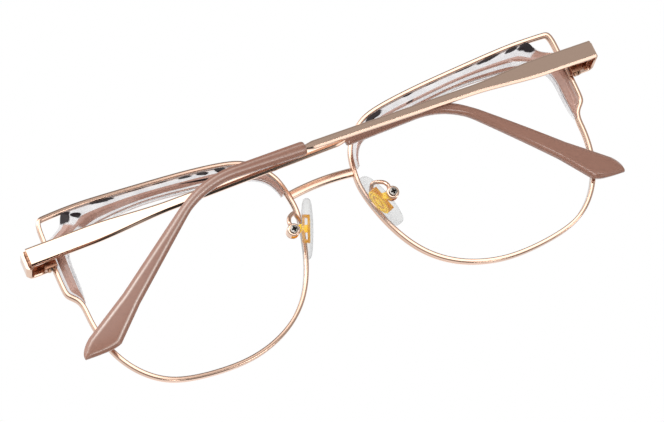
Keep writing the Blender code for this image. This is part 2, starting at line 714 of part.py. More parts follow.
def make_rim_lock(side, names):
    """Two blocks behind the wire's ends, one on each, and the screw up through them."""
    across, deep, split = lock_place()
    wide, thick = LOCK_WIDTH / 2, LOCK_DEPTH / 2
    low = box(names[0], (across - wide, deep - thick, split - LOCK_GAP / 2 - LOCK_HEIGHT),
              (across + wide, deep + thick, split - LOCK_GAP / 2), ROSE_GOLD, FRONT, side)
    high = box(names[1], (across - wide, deep - thick, split + LOCK_GAP / 2),
               (across + wide, deep + thick, split + LOCK_GAP / 2 + LOCK_HEIGHT), ROSE_GOLD,
               FRONT, side)
    reach = 2 * LOCK_HEIGHT + LOCK_GAP - LOCK_BLIND_WALL
    under = split - LOCK_GAP / 2 - LOCK_HEIGHT
    for block in (low, high):
        hole = cylinder(f"{block.name}_hole", (across, deep, under + reach / 2),
                        LOCK_SCREW_RADIUS + RUNNING, reach + 4 * SEAT, ROSE_GOLD, FRONT, side, CUTTERS,
                        sides=16)
        combine(block, hole, "DIFFERENCE")
    screw, cutter = turned_screw(names[2], LOCK_SCREW_RADIUS, reach - 2 * SEAT, LOCK_HEAD_RADIUS,
                                 LOCK_HEAD_HEIGHT, STEEL, FRONT)
    for each in (screw, cutter):
        each.rotation_euler = (math.pi, 0.0, 0.0)
        each.location = Vector((side * across, deep, under - SEAT)) * MM


def temple_path(stations, tip_angle):
    """Places along the temple's outer face in its own frame: x out, y along the temple from the
    hinge axis, z up. Past the bend it drops and curves in."""
    start = -HINGE_BEHIND_BUTT + BUTT_GAP
    along = np.array(stations, float)
    past = (along - TEMPLE_TO_BEND) / BEND_LENGTH
    bent = np.where(past < -0.5, 0.0, np.where(past > 0.5, past, (past + 0.5) ** 2 / 2))
    angle = math.radians(tip_angle)
    run = along - bent * BEND_LENGTH * (1 - math.cos(angle))
    drop = bent * BEND_LENGTH * math.sin(angle)
    curl = np.clip((along - TEMPLE_TO_BEND + BEND_LENGTH / 2) / (TIP_DROP + BEND_LENGTH / 2), 0, 1)
    out = HINGE_INSET - TIP_INWARD * curl**TIP_INWARD_POWER
    return np.stack([out, start + run, -drop], axis=1)


def temple_frames(stations, tip_angle):
    """At each station the place, the way out of the outer face and the way up across the strip."""
    stations = np.array(stations, float)
    place = temple_path(stations, tip_angle)
    ahead = (temple_path(stations + DIRECTION_STEP, tip_angle)
             - temple_path(stations - DIRECTION_STEP, tip_angle))
    ahead /= np.linalg.norm(ahead, axis=1)[:, None]
    out = np.array([1.0, 0.0, 0.0]) - ahead * ahead[:, :1]
    out /= np.linalg.norm(out, axis=1)[:, None]
    return place, out, np.cross(out, ahead)


def strip_height(along):
    """The temple strip's height: wide at the hinge, then narrow, with a shoulder at the sleeve."""
    taper_end = WIDE_STRIP_LENGTH + STRIP_TAPER_LENGTH
    shoulder = METAL_TO_SLEEVE - SHOULDER_LENGTH
    if along < taper_end:
        share = max(0.0, (along - WIDE_STRIP_LENGTH) / STRIP_TAPER_LENGTH)
        return STRIP_HEIGHT + (NARROW_STRIP_HEIGHT - STRIP_HEIGHT) * share**2 * (3 - 2 * share)
    return np.interp(along, (taper_end, shoulder, METAL_TO_SLEEVE),
                     (NARROW_STRIP_HEIGHT, METAL_END_HEIGHT, 2 * CORE_RADIUS))


def tip_edges(along):
    """How far the tip reaches above and below the core wire. Its end is rounded above and cut
    at a slant below."""
    end = TEMPLE_TO_BEND + TIP_DROP
    height = np.interp(along, (METAL_TO_SLEEVE, NECK_TO, PADDLE_FROM, end - TIP_ROUND),
                       (SLEEVE_HEIGHT, NECK_HEIGHT, PADDLE_START_HEIGHT, PADDLE_HEIGHT))
    past = np.clip((along - end + TIP_ROUND) / TIP_ROUND, 0.0, 1.0)
    cut = np.clip((along - end + TIP_SLANT_LENGTH) / TIP_SLANT_LENGTH, 0.0, 1.0)
    above = height / 2 - TIP_ROUND_DOWN * (1 - np.sqrt(1 - past**2))
    below = -height / 2 + (height - TIP_ROUND_DOWN) * cut**1.2
    return above, below


def tip_ring(place, out, up, along, shrink=1.0):
    """The tip's section: a flat face with a bevel along each edge, thinner where it closes."""
    above, below = tip_edges(along)
    middle, height = (above + below) / 2, (above - below) * shrink
    end = TEMPLE_TO_BEND + TIP_DROP
    thickness = np.interp(along, (METAL_TO_SLEEVE, end - TIP_ROUND),
                          (SLEEVE_THICKNESS, PADDLE_THICKNESS))
    thickness *= shrink * min(1.0, (height / NECK_HEIGHT) ** 0.5)
    half, cut = height / 2, min(TIP_BEVEL, 0.3 * height)
    deep = TIP_BEVEL_DEPTH * thickness / PADDLE_THICKNESS
    small = 0.5 * deep
    section = ((0.0, half - cut), (-deep, half), (small - thickness, half),
               (-thickness, half - small), (-thickness, small - half), (small - thickness, -half),
               (-deep, -half), (0.0, cut - half))
    centre = place + out * (thickness - STRIP_THICKNESS) / 2 + up * middle
    return [centre + out * across + up * level for across, level in section]


def core_ring(place, out, up, radius):
    """A round section about the middle of the strip's thickness."""
    middle = place - out * STRIP_THICKNESS / 2
    turns = np.radians([67.5, 112.5, 157.5, 202.5, 247.5, 292.5, 337.5, 22.5])
    return [middle + (out * math.cos(t) + up * math.sin(t)) * radius for t in turns]


def make_temple(side, name, tip_angle, swing):
    """The strip narrows to the sleeve and runs on as a round core wire inside the tip."""
    taper_end = WIDE_STRIP_LENGTH + STRIP_TAPER_LENGTH
    shoulder = METAL_TO_SLEEVE - SHOULDER_LENGTH
    relieved = KNUCKLE_RADIUS + 4 * RUNNING
    stations = np.concatenate([(0.0, relieved), np.linspace(WIDE_STRIP_LENGTH, taper_end, 6),
                               (shoulder, METAL_TO_SLEEVE - SEAT)])
    rings = [strip_ring(place, out, up, STRIP_THICKNESS, strip_height(along), STRIP_CHAMFER)
             for along, place, out, up in zip(stations, *temple_frames(stations, tip_angle))]
    inside = np.linspace(METAL_TO_SLEEVE + SEAT, METAL_TO_SLEEVE + CORE_LENGTH, CORE_STATIONS)
    rings += [core_ring(place, out, up, CORE_RADIUS)
              for place, out, up in zip(*temple_frames(inside, tip_angle))]
    item = loft(name, rings, ROSE_GOLD, swing, side)
    relief = cylinder(f"{name}_knuckle_relief", (0.0, 0.0, 0.0), KNUCKLE_RADIUS + 2 * RUNNING,
                      CUT_THROUGH, ROSE_GOLD, swing, side, CUTTERS)
    combine(item, relief, "DIFFERENCE")
    return item


def make_tip(side, name, tip_angle, swing):
    """A sleeve with a rounded lip that widens to a bevelled paddle, bored for the core wire."""
    end = TEMPLE_TO_BEND + TIP_DROP
    lip = np.radians([0.0, 30.0, 60.0, 90.0])
    outer = np.concatenate([
        METAL_TO_SLEEVE + SLEEVE_THICKNESS / 2 * (1 - np.cos(lip)),
        np.linspace(METAL_TO_SLEEVE + SLEEVE_THICKNESS, TEMPLE_TO_BEND - BEND_LENGTH / 2, 3),
        np.linspace(TEMPLE_TO_BEND - BEND_LENGTH / 2, TEMPLE_TO_BEND + BEND_LENGTH / 2, 7)[1:],
        np.linspace(TEMPLE_TO_BEND + BEND_LENGTH, end - TIP_SLANT_LENGTH, 4),
        end - TIP_SLANT_LENGTH * np.array([0.75, 0.53, 0.35, 0.2, 0.08, 0.02]),
    ])
    shrink = np.concatenate([1 - TIP_LIP * (1 - np.sin(lip)), np.ones(len(outer) - len(lip))])
    rings = [tip_ring(place, out, up, along, small) for along, small, place, out, up
             in zip(outer, shrink, *temple_frames(outer, tip_angle))]
    bore = np.linspace(METAL_TO_SLEEVE + CORE_LENGTH + 4 * SEAT, METAL_TO_SLEEVE, CORE_STATIONS)
    inner = [core_ring(place, out, up, CORE_RADIUS + 2 * RUNNING)
             for place, out, up in zip(*temple_frames(bore, tip_angle))]
    return loft(name, rings[::-1] + inner[::-1], TIP_PLASTIC, swing, side)


def pad_turn(side):
    """How the pad's own frame lies: x out through its back, y deep, z along it."""
    splay = Matrix.Rotation(math.radians(-side * PAD_SPLAY), 3, "Y")
    rake = Matrix.Rotation(math.radians(PAD_RAKE), 3, "X")
    toe = Matrix.Rotation(math.radians(-side * PAD_TOE_IN), 3, "Z")
    return (splay @ toe @ rake).to_4x4()


def core_pieces(side, name, rock, frame, grown=0.0):
    """The oval plate and, as helpers, the bar with its bent ends behind it, the neck between and
    the stem to the screw. With a positive growth they are the room that the pad leaves."""
    collection = CUTTERS if grown else None
    plate = make_core_plate(f"{name}_plate" if grown else name, side, frame, grown, collection)
    wide, tall = CORE_BAR_WIDTH / 2 + grown, CORE_BAR_LENGTH / 2 + grown
    near, far = CORE_BAR_OUT - grown, CORE_BAR_OUT + CORE_BAR_THICKNESS + grown
    face = CORE_PLATE_THICKNESS / 2 - CORE_PLATE_INSET - SEAT
    parts = [box(f"{name}_bar", (near, -wide, -tall), (far, wide, tall), GOLD, frame, side, CUTTERS),
             box(f"{name}_neck", (face, -wide, -STEM_HEIGHT / 2 - grown),
                 (far, wide, STEM_HEIGHT / 2 + grown), GOLD, frame, side, CUTTERS)]
    for word, end in (("upper", 1), ("lower", -1)):
        levels = sorted((end * tall, end * (tall - CORE_BAR_END - 2 * grown)))
        parts.append(box(f"{name}_{word}_end", (face, -wide, levels[0]), (far, wide, levels[1]),
                         GOLD, frame, side, CUTTERS))
    thin, low = STEM_THICKNESS / 2 - RUNNING + grown, STEM_HEIGHT / 2 - RUNNING + grown
    parts.append(box(f"{name}_stem", (CORE_BAR_OUT - PAD_FROM_PIVOT, -thin, -low), (0.0, thin, low),
                     GOLD, rock, side, CUTTERS))
    return plate, parts


def make_nose_pad(side, name, rock, frame):
    """A soft oval pad with a pocket moulded round its core, open where the stem comes out."""
    shell = bmesh.new()
    bmesh.ops.create_uvsphere(shell, u_segments=16, v_segments=10, radius=0.5)
    for vertex in shell.verts:
        x, y, z = vertex.co
        flat = math.copysign((2 * abs(x)) ** 0.75 / 2, x)
        vertex.co = (flat * PAD_THICKNESS * MM, y * PAD_WIDTH * MM, z * PAD_LENGTH * MM)
    mesh = bpy.data.meshes.new(name)
    shell.to_mesh(mesh)
    shell.free()
    item = finish(name, mesh, SILICONE, frame, smooth=80.0)
    plate, parts = core_pieces(side, f"{name}_room", rock, frame, SEAT)
    for each in (plate, *parts):
        combine(item, each, "DIFFERENCE")
    return item


def make_core_plate(name, side, frame, grown, collection=None):
    """The oval plate inside the pad, towards the nose from its middle."""
    shell = bmesh.new()
    bmesh.ops.create_cone(shell, cap_ends=True, segments=20, radius1=0.5, radius2=0.5, depth=1.0)
    for vertex in shell.verts:
        x, y, z = vertex.co
        vertex.co = ((z * (CORE_PLATE_THICKNESS + 2 * grown) - side * CORE_PLATE_INSET) * MM,
                     y * (CORE_PLATE_WIDTH + 2 * grown) * MM,
                     x * (CORE_PLATE_LENGTH + 2 * grown) * MM)
    bmesh.ops.reverse_faces(shell, faces=shell.faces)
    mesh = bpy.data.meshes.new(name)
    shell.to_mesh(mesh)
    shell.free()
    return finish(name, mesh, GOLD, frame, collection)


def make_pad_core(side, name, rock, frame):
    """The plate, bar and stem, whose round eye turns on the pad screw between the box's walls."""
    item, parts = core_pieces(side, name, rock, frame)
    eye = cylinder(f"{name}_eye", (0.0, 0.0, 0.0), STEM_HEIGHT / 2, STEM_THICKNESS, GOLD, rock,
                   side, CUTTERS, along="Y")
    hole = cylinder(f"{name}_hole", (0.0, 0.0, 0.0), PAD_SCREW_RADIUS + RUNNING,
                    2 * STEM_THICKNESS, GOLD, rock, side, CUTTERS, along="Y", sides=16)
    for each in (*parts, eye):
        combine(item, each, "UNION")
    combine(item, hole, "DIFFERENCE")
    return item


def make_pad_box(side, name, pivot):
    """A round cup with a slot for the stem, open to the nose, and holes for the screw."""
    item = cylinder(name, (0.0, 0.0, 0.0), BOX_RADIUS, BOX_DEPTH, ROSE_GOLD, pivot, side,
                    along="Y")
    half = BOX_DEPTH / 2 - BOX_WALL
    slot = box(f"{name}_slot", (-2 * BOX_RADIUS, -half, -BOX_RADIUS * 1.2),
               (BOX_RADIUS - BOX_WALL, half, BOX_RADIUS - BOX_WALL / 2), ROSE_GOLD, pivot, side,
               CUTTERS)
    hole = cylinder(f"{name}_hole", (0.0, 0.0, 0.0), PAD_SCREW_RADIUS + RUNNING, 2 * BOX_DEPTH,
                    ROSE_GOLD, pivot, side, CUTTERS, along="Y", sides=16)
    combine(item, slot, "DIFFERENCE")
    combine(item, hole, "DIFFERENCE")
    return item


def make_pad_screw(side, name, pivot):
    item, cutter = turned_screw(name, PAD_SCREW_RADIUS, BOX_DEPTH, PAD_SCREW_HEAD,
                                PAD_SCREW_HEAD_HEIGHT, STEEL, pivot, slot=0.35)
    for each in (item, cutter):
        each.rotation_euler = (-math.pi / 2, 0.0, 0.0)
        each.location = (0.0, (BOX_DEPTH / 2 + SEAT) * MM, 0.0)
    return item


def make_pad_arm(side, name):
    """A wire from the rim's back, curled over to the top of the pad box."""
    edge = nose_edge(PAD_ARM_LEVEL)
    foot = np.array([edge + WIRE_WIDTH / 2, bow(edge, PAD_ARM_LEVEL), PAD_ARM_LEVEL])
    foot[1] += WIRE_DEPTH / 2 + 6 * SEAT
    top = np.array([PAD_PIVOT_X, PAD_FORWARD, PAD_PIVOT_Z + BOX_RADIUS + SEAT])
    through = [foot, foot + (0.1, 0.6, 0.15), foot + (0.4, 1.3, 1.1), foot + (0.75, 2.0, 2.2),
               foot + (1.25, 2.8, 2.75), top + (-1.1, -0.9, 2.25), top + (-0.35, -0.3, 1.5),
               top + (0.0, 0.0, 0.6), top]
    points = resample(smooth_curve(np.array(through)), 15)
    points[:, 0] *= side
    item = curve_object(name, points, FRONT)
    item.data.bevel_depth = PAD_ARM_RADIUS * MM
    item.data.bevel_resolution = 2
    item.data.materials.append(ROSE_GOLD)
    PARTS.objects.link(item)
    return item


def make_side(side, word, fold, tip_angle, profile):
    make_rim(side, f"{word}_rim", profile)
    make_insert(side, f"{word}_brow_insert")
    make_lens(side, f"{word}_lens")
    make_end_piece(side, f"{word}_end_piece")
    make_rim_lock(side, (f"{word}_rim_lock_lower", f"{word}_rim_lock_upper", f"{word}_rim_screw"))
    x, y = hinge_axis()
    axis = new_empty(f"{word}_hinge_axis", (side * x, y, TEMPLE_LEVEL), FRONT)
    turn = math.radians(side * (90.0 - fold))
    swing = new_empty(f"{word}_temple_swing", (0.0, 0.0, 0.0), axis, (0.0, 0.0, turn))
    make_front_hinge(side, f"{word}_front_hinge", axis)
    make_hinge_screw(side, f"{word}_hinge_screw", axis)
    make_temple_hinge(side, f"{word}_temple_hinge", swing)
    make_temple(side, f"{word}_temple", tip_angle, swing)
    make_tip(side, f"{word}_temple_tip", tip_angle, swing)
    make_pad_arm(side, f"{word}_pad_arm")
    pivot = new_empty(f"{word}_pad_pivot", (side * PAD_PIVOT_X, PAD_FORWARD, PAD_PIVOT_Z), FRONT)
    make_pad_box(side, f"{word}_pad_box", pivot)
    make_pad_screw(side, f"{word}_pad_screw", pivot)
    place = (-side * PAD_FROM_PIVOT, -PAD_BEFORE_PIVOT, -PAD_BELOW_PIVOT)
    frame = new_empty(f"{word}_pad_frame", place, pivot)
    frame.matrix_basis = frame.matrix_basis @ pad_turn(side)
    make_pad_core(side, f"{word}_pad_core", pivot, frame)
    make_nose_pad(side, f"{word}_nose_pad", pivot, frame)


clear_scene()
PARTS = new_collection("cat_eye_eyeglasses")
CUTTERS = new_collection("cutters_and_guides")
ROSE_GOLD = new_material("rose_gold_plated_metal", (0.80, 0.55, 0.44), 0.18, metallic=1.0)
STEEL = new_material("screw_steel", (0.62, 0.60, 0.58), 0.25, metallic=1.0)
GOLD = new_material("gold_coloured_pad_core", (0.85, 0.60, 0.05), 0.25)
BROW_ACETATE = new_material("clear_pink_acetate", (0.62, 0.42, 0.36), 0.12, alpha=0.7)
LENS_GLASS = new_material("clear_lens", (0.95, 0.97, 0.97), 0.02, alpha=0.15)
TIP_PLASTIC = new_material("dusty_pink_plastic", (0.38, 0.21, 0.16), 0.3)
SILICONE = new_material("clear_silicone", (0.80, 0.80, 0.82), 0.25, alpha=0.5)
FRONT = new_empty("front", (0.0, -ORIGIN_BACK, EYE_BELOW_BRIDGE))
make_bridge()
WIRE_SECTION = make_wire_profile()
make_side(1, "left", LEFT_FOLD, LEFT_TIP_ANGLE, WIRE_SECTION)
make_side(-1, "right", RIGHT_FOLD, RIGHT_TIP_ANGLE, WIRE_SECTION)
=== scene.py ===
import json
import math

import bpy
import numpy as np
from mathutils import Matrix, Vector


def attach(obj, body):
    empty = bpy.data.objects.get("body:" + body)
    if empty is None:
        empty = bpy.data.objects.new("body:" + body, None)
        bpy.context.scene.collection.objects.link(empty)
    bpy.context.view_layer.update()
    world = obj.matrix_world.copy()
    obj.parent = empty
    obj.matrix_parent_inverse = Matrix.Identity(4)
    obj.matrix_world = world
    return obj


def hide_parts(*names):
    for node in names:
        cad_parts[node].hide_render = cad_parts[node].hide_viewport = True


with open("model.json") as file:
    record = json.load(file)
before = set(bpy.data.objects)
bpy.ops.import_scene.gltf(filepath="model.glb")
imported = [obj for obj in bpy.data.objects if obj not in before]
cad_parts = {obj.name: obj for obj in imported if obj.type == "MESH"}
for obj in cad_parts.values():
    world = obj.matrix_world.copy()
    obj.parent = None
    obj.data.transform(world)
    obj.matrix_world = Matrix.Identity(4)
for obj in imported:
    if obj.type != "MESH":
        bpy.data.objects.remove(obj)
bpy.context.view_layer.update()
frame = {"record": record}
MM = 0.001

# The photographer's camera stands behind the folded glasses and a little below them, tilted so
# that the brow line climbs to the right. A lens of about 122 mm on full frame fits the view.
CAMERA_PLACE = (0.14794, 0.47687, -0.09205)
CAMERA_AZIMUTH = math.radians(-16.88)
CAMERA_ELEVATION = math.radians(-13.13)
CAMERA_ROLL = math.radians(-24.76)
CAMERA_LENS_MM = 122.38
FULL_FRAME_MM = 36.0
CAMERA_NEAR = 0.01


def aim_camera(camera):
    """Looks along the azimuth and elevation, then turns about that line by the roll."""
    flat = math.cos(CAMERA_ELEVATION)
    ahead = Vector((math.sin(CAMERA_AZIMUTH) * flat, -math.cos(CAMERA_AZIMUTH) * flat,
                    -math.sin(CAMERA_ELEVATION)))
    level = ahead.cross(Vector((0.0, 0.0, 1.0))).normalized()
    upright = level.cross(ahead)
    right = level * math.cos(CAMERA_ROLL) + upright * math.sin(CAMERA_ROLL)
    up = upright * math.cos(CAMERA_ROLL) - level * math.sin(CAMERA_ROLL)
    turn = Matrix((right, up, -ahead)).transposed().to_4x4()
    camera.matrix_world = Matrix.Translation(CAMERA_PLACE) @ turn


camera = bpy.data.objects.new("camera", bpy.data.cameras.new("camera"))
camera.data.lens = CAMERA_LENS_MM
camera.data.sensor_width = FULL_FRAME_MM
camera.data.clip_start = CAMERA_NEAR
bpy.context.scene.collection.objects.link(camera)
aim_camera(camera)
bpy.context.scene.camera = camera
bpy.context.scene.view_settings.view_transform = "Standard"


# The studio is a bright white tent. Soft boxes stand behind the photographer and over the brow,
# and the gaps between them are what draws the dark lines along the polished metal.
def linear(code):
    """An sRGB hex colour as linear red, green and blue, and an alpha of 1."""
    parts = [int(code[i:i + 2], 16) / 255 for i in (1, 3, 5)]
    return (*(p / 12.92 if p <= 0.04045 else ((p + 0.055) / 1.055) ** 2.4 for p in parts), 1.0)


def add(tree, kind, inputs=(), give=0, **settings):
    """Adds a node and gives one of its outputs. Inputs holds for a socket a constant, or the
    output that is linked to it, and settings are the node's own values."""
    node = tree.nodes.new(kind)
    for name, value in settings.items():
        setattr(node, name, value)
    for name, value in dict(inputs).items():
        if isinstance(value, bpy.types.NodeSocket):
            tree.links.new(value, node.inputs[name])
        else:
            node.inputs[name].default_value = value
    return node.outputs[give] if len(node.outputs) else node


STUDIO_BASE = 0.52
# Each patch: azimuth from the rear and elevation in degrees, radius where it is full, radius
# where it ends, and strength
SOFT_BOXES = (
    (-3.0, 14.0, 15.0, 21.0, 2.15),
    (180.0, 0.0, 32.0, 58.0, 0.55),
    (75.0, 15.0, 20.0, 34.0, 1.0),
    (-115.0, 5.0, 16.0, 34.0, 0.8),
    (-176.0, -12.0, 9.0, 15.0, 0.4),
    (75.0, 55.0, 24.0, 42.0, 2.0),
)
STUDIO_GAPS = (
    (-20.0, -72.0, 20.0, 34.0, 0.94),
    (-25.0, 62.0, 20.0, 27.0, 0.70),
    (15.0, -30.0, 9.0, 16.0, 0.85),
)
LAMPS = (
    (-64.0, -60.5, 6.0, 12.0, 1.7),
    (32.0, 34.0, 7.0, 12.0, 9.0),
    (-32.0, -27.0, 5.0, 9.0, 6.0),
    (5.0, -50.0, 6.0, 10.0, 9.0),
)

world = bpy.data.worlds.new("white_tent")
world.use_nodes = True
bpy.context.scene.world = world
tree = world.node_tree
tree.nodes.clear()
towards = add(tree, "ShaderNodeTexCoord", give="Generated")


def patch_of_sky(azimuth, elevation, full, end):
    """How far a view line lies inside a round patch of the tent, from 0 to 1: a smooth step on
    the cosine of its angle from the patch's middle."""
    turn, rise = math.radians(azimuth), math.radians(elevation)
    middle = (math.sin(turn) * math.cos(rise), math.cos(turn) * math.cos(rise), math.sin(rise))
    facing = add(tree, "ShaderNodeVectorMath", {0: towards, 1: middle}, "Value",
                 operation="DOT_PRODUCT")
    ends = {"From Min": math.cos(math.radians(end)), "From Max": math.cos(math.radians(full))}
    return add(tree, "ShaderNodeMapRange", {"Value": facing, **ends},
               interpolation_type="SMOOTHSTEP")


def lit(light, patches):
    """The light with each patch's strength added where the view line lies inside it."""
    for *patch, strength in patches:
        light = add(tree, "ShaderNodeMath", {0: patch_of_sky(*patch), 1: strength, 2: light},
                    operation="MULTIPLY_ADD")
    return light


light = lit(STUDIO_BASE, SOFT_BOXES)
for *patch, share in STUDIO_GAPS:
    keep = add(tree, "ShaderNodeMath", {0: patch_of_sky(*patch), 1: -share, 2: 1.0},
               operation="MULTIPLY_ADD")
    light = add(tree, "ShaderNodeMath", {0: keep, 1: light}, operation="MULTIPLY")
tent = add(tree, "ShaderNodeBackground", {"Strength": lit(light, LAMPS)})
backdrop = add(tree, "ShaderNodeBackground", {"Color": (1.0, 1.0, 1.0, 1.0), "Strength": 1.0})
direct = add(tree, "ShaderNodeLightPath", give="Is Camera Ray")
passing = add(tree, "ShaderNodeLightPath", give="Is Transmission Ray")
seen = add(tree, "ShaderNodeMath", {0: direct, 1: passing}, operation="MAXIMUM")
mixed = add(tree, "ShaderNodeMixShader", {0: seen, 1: tent, 2: backdrop})
add(tree, "ShaderNodeOutputWorld", {"Surface": mixed})


# The floor is a sheet of white card under the rims. It shows from above only, because the
# photographer's camera stands below the level that the glasses rest on. Polished faces mirror
# the tent and not the card, as they do on a glass table. Far out the card fades into the white.
FLOOR_HALF = 1.5
FLOOR_LEVEL = -0.0002
FADE_FROM = 0.16
FADE_TO = 0.75


def new_material(name):
    """A material with an empty tree, that tree, and the Object coordinates in it."""
    material = bpy.data.materials.new(name)
    material.use_nodes = True
    tree = material.node_tree
    tree.nodes.clear()
    return material, tree, add(tree, "ShaderNodeTexCoord", give="Object")


def finished(material, shader):
    """The material with its shader joined to the output."""
    add(material.node_tree, "ShaderNodeOutputMaterial", {"Surface": shader})
    return material


card, tree, place = new_material("white_card")
matt = add(tree, "ShaderNodeBsdfDiffuse", {"Color": linear("#F4F4F4")})
clear = add(tree, "ShaderNodeBsdfTransparent")
under = add(tree, "ShaderNodeNewGeometry", give="Backfacing")
far = add(tree, "ShaderNodeVectorMath", {0: place}, "Value", operation="LENGTH")
faded = add(tree, "ShaderNodeMapRange", {"Value": far, "From Min": FADE_FROM, "From Max": FADE_TO},
            interpolation_type="SMOOTHSTEP")
gone = add(tree, "ShaderNodeMath", {0: under, 1: faded}, operation="MAXIMUM")
finished(card, add(tree, "ShaderNodeMixShader", {0: gone, 1: matt, 2: clear}))
mesh = bpy.data.meshes.new("floor")
mesh.from_pydata([(x * FLOOR_HALF, y * FLOOR_HALF, FLOOR_LEVEL)
                  for x, y in ((-1, -1), (1, -1), (1, 1), (-1, 1))], [], [(0, 1, 2, 3)])
mesh.materials.append(card)
floor = bpy.data.objects.new("floor", mesh)
bpy.context.scene.collection.objects.link(floor)
floor.visible_glossy = False


# Rims: nickel-silver wire rolled to a U section, bent to the eye shape and plated rose gold. The
# plating is polished, so it shows as pale pink faces with thin brown lines.
RIMS_APART = 15.4
EYE_WIDTH = 58.7
EYE_HEIGHT = 48.2
EYE_BELOW_BRIDGE = 34.4
ORIGIN_BACK = 9.4
ACROSS_RADIUS = 446.4
UPRIGHT_RADIUS = 367.6
BOW_LEVEL = -5.0
WIRE_WIDTH = 1.0
WIRE_DEPTH = 2.0
GROOVE_DEPTH = 0.35
GROOVE_HALF = 0.45
RIM_SPLIT = 0.3
SEAT = 0.04
WIRE_LINE_HALF = 0.3
WIRE_LINE_DEPTH = 0.06
RIM_ROWS = 460
# The wire's outer edge from its lock over the brow and down the nose: shares of the eye's width
# and height
RIM_OUTLINE = (
    (1.000, 0.776), (0.998, 0.890), (0.995, 0.946), (0.984, 0.979), (0.957, 0.989),
    (0.859, 0.998), (0.755, 1.000), (0.550, 0.992), (0.380, 0.981), (0.228, 0.961),
    (0.135, 0.932), (0.077, 0.884), (0.031, 0.813), (0.012, 0.747), (0.003, 0.678),
    (0.000, 0.610), (0.022, 0.465), (0.073, 0.299), (0.145, 0.170), (0.249, 0.073),
    (0.380, 0.015), (0.516, 0.000), (0.676, 0.019), (0.780, 0.064), (0.867, 0.158),
    (0.928, 0.299), (0.951, 0.454), (0.961, 0.544), (0.990, 0.585), (0.999, 0.631),
)
ROSE_GOLD_COLOUR = "#F4D2BC"
BUMP_DEPTH = 0.00002
SHARP_ANGLE = 38.0
SIDES = ("left", "right")


def rose_gold(name, roughness, brushed=0.0, colour=ROSE_GOLD_COLOUR):
    """Rose gold plate: pink metal with faint clouds of polish, brushed lengthwise where asked.
    A noise's scale is its features in a metre, so a cloud is 6 mm wide. The strokes are 6 mm
    long and 0.3 mm apart, coarser than real ones, so that they show."""
    material, tree, place = new_material(name)
    clouds = add(tree, "ShaderNodeTexNoise", {"Vector": place, "Scale": 180.0, "Detail": 3.0})
    rough = add(tree, "ShaderNodeMapRange", {"Value": clouds, "To Min": roughness * 0.8,
                                             "To Max": roughness * 1.25})
    stretched = add(tree, "ShaderNodeMapping", {"Vector": place, "Scale": (40.0, 900.0, 900.0)})
    strokes = add(tree, "ShaderNodeTexNoise", {"Vector": stretched, "Scale": 4.0, "Detail": 2.0})
    bump = add(tree, "ShaderNodeBump", {"Height": strokes, "Strength": 0.01 + brushed,
                                        "Distance": BUMP_DEPTH})
    return finished(material, add(tree, "ShaderNodeBsdfPrincipled", {
        "Base Color": linear(colour), "Metallic": 1.0, "Roughness": rough, "Normal": bump}))


def bow(x, z):
    """How far back the front lies: a shallow bowl of one radius across and another upright."""
    return x**2 / (2 * ACROSS_RADIUS) + (z - BOW_LEVEL) ** 2 / (2 * UPRIGHT_RADIUS)


def on_front(outline):
    """Shares of the rim's width and height as places in millimetres across and up."""
    shares = np.array(outline, float)
    across = RIMS_APART / 2 + EYE_WIDTH * shares[:, 0]
    return np.stack([across, EYE_HEIGHT * shares[:, 1] - EYE_BELOW_BRIDGE], axis=1)


def smooth_curve(points, closed=False, steps=40):
    """The cubic spline through a few points: the slopes at the points solve the equations that
    make its bending continuous, and each stretch is then a Hermite curve."""
    points = np.array(points, float)
    if closed:
        points = np.vstack([points, points[:1]])
    gaps = np.linalg.norm(np.diff(points, axis=0), axis=1) ** 0.5
    count = len(points)
    slopes = np.diff(points, axis=0) / gaps[:, None]
    system = np.zeros((count, count))
    right = np.zeros(points.shape)
    inner = np.arange(1, count - 1)
    system[inner, inner - 1] = gaps[1:]
    system[inner, inner] = 2 * (gaps[1:] + gaps[:-1])
    system[inner, inner + 1] = gaps[:-1]
    right[inner] = 3 * (gaps[1:, None] * slopes[:-1] + gaps[:-1, None] * slopes[1:])
    if closed:
        system[0, [0, 1, -2]] = 2 * (gaps[-1] + gaps[0]), gaps[-1], gaps[0]
        right[0] = 3 * (gaps[0] * slopes[-1] + gaps[-1] * slopes[0])
        system[-1, [0, -1]] = 1.0, -1.0
    else:
        system[0, :2] = system[-1, -2:] = 2.0, 1.0
        system[-1, -2:] = 1.0, 2.0
        right[0], right[-1] = 3 * slopes[0], 3 * slopes[-1]
    tangents = np.linalg.solve(system, right)
    t = np.linspace(0.0, 1.0, steps, endpoint=False)[None, :, None]
    start, end = points[:-1, None], points[1:, None]
    leave = tangents[:-1, None] * gaps[:, None, None]
    arrive = tangents[1:, None] * gaps[:, None, None]
    curve = ((1 + 2 * t) * (1 - t) ** 2 * start + t * (1 - t) ** 2 * leave
             + t**2 * (3 - 2 * t) * end + t**2 * (t - 1) * arrive)
    return np.vstack([curve.reshape(-1, points.shape[1]), points[-1:]])


def lengths_along(points):
    """The distance along a line to each of its points."""
    steps = np.linalg.norm(np.diff(points, axis=0), axis=1)
    return np.concatenate([[0.0], np.cumsum(steps)])


def spaced(points, count):
    """That many points along a line, evenly spaced."""
    along = lengths_along(points)
    wanted = np.linspace(0.0, along[-1], count)
    return np.stack([np.interp(wanted, along, column) for column in points.T], axis=1)


def inward(points):
    """The unit normals of a flat line, to its left as it runs."""
    steps = np.diff(points, axis=0)
    steps /= np.linalg.norm(steps, axis=1)[:, None]
    ahead = np.vstack([steps[:1], steps[1:] + steps[:-1], steps[-1:]])
    ahead /= np.linalg.norm(ahead, axis=1)[:, None]
    return np.stack([-ahead[:, 1], ahead[:, 0]], axis=1)


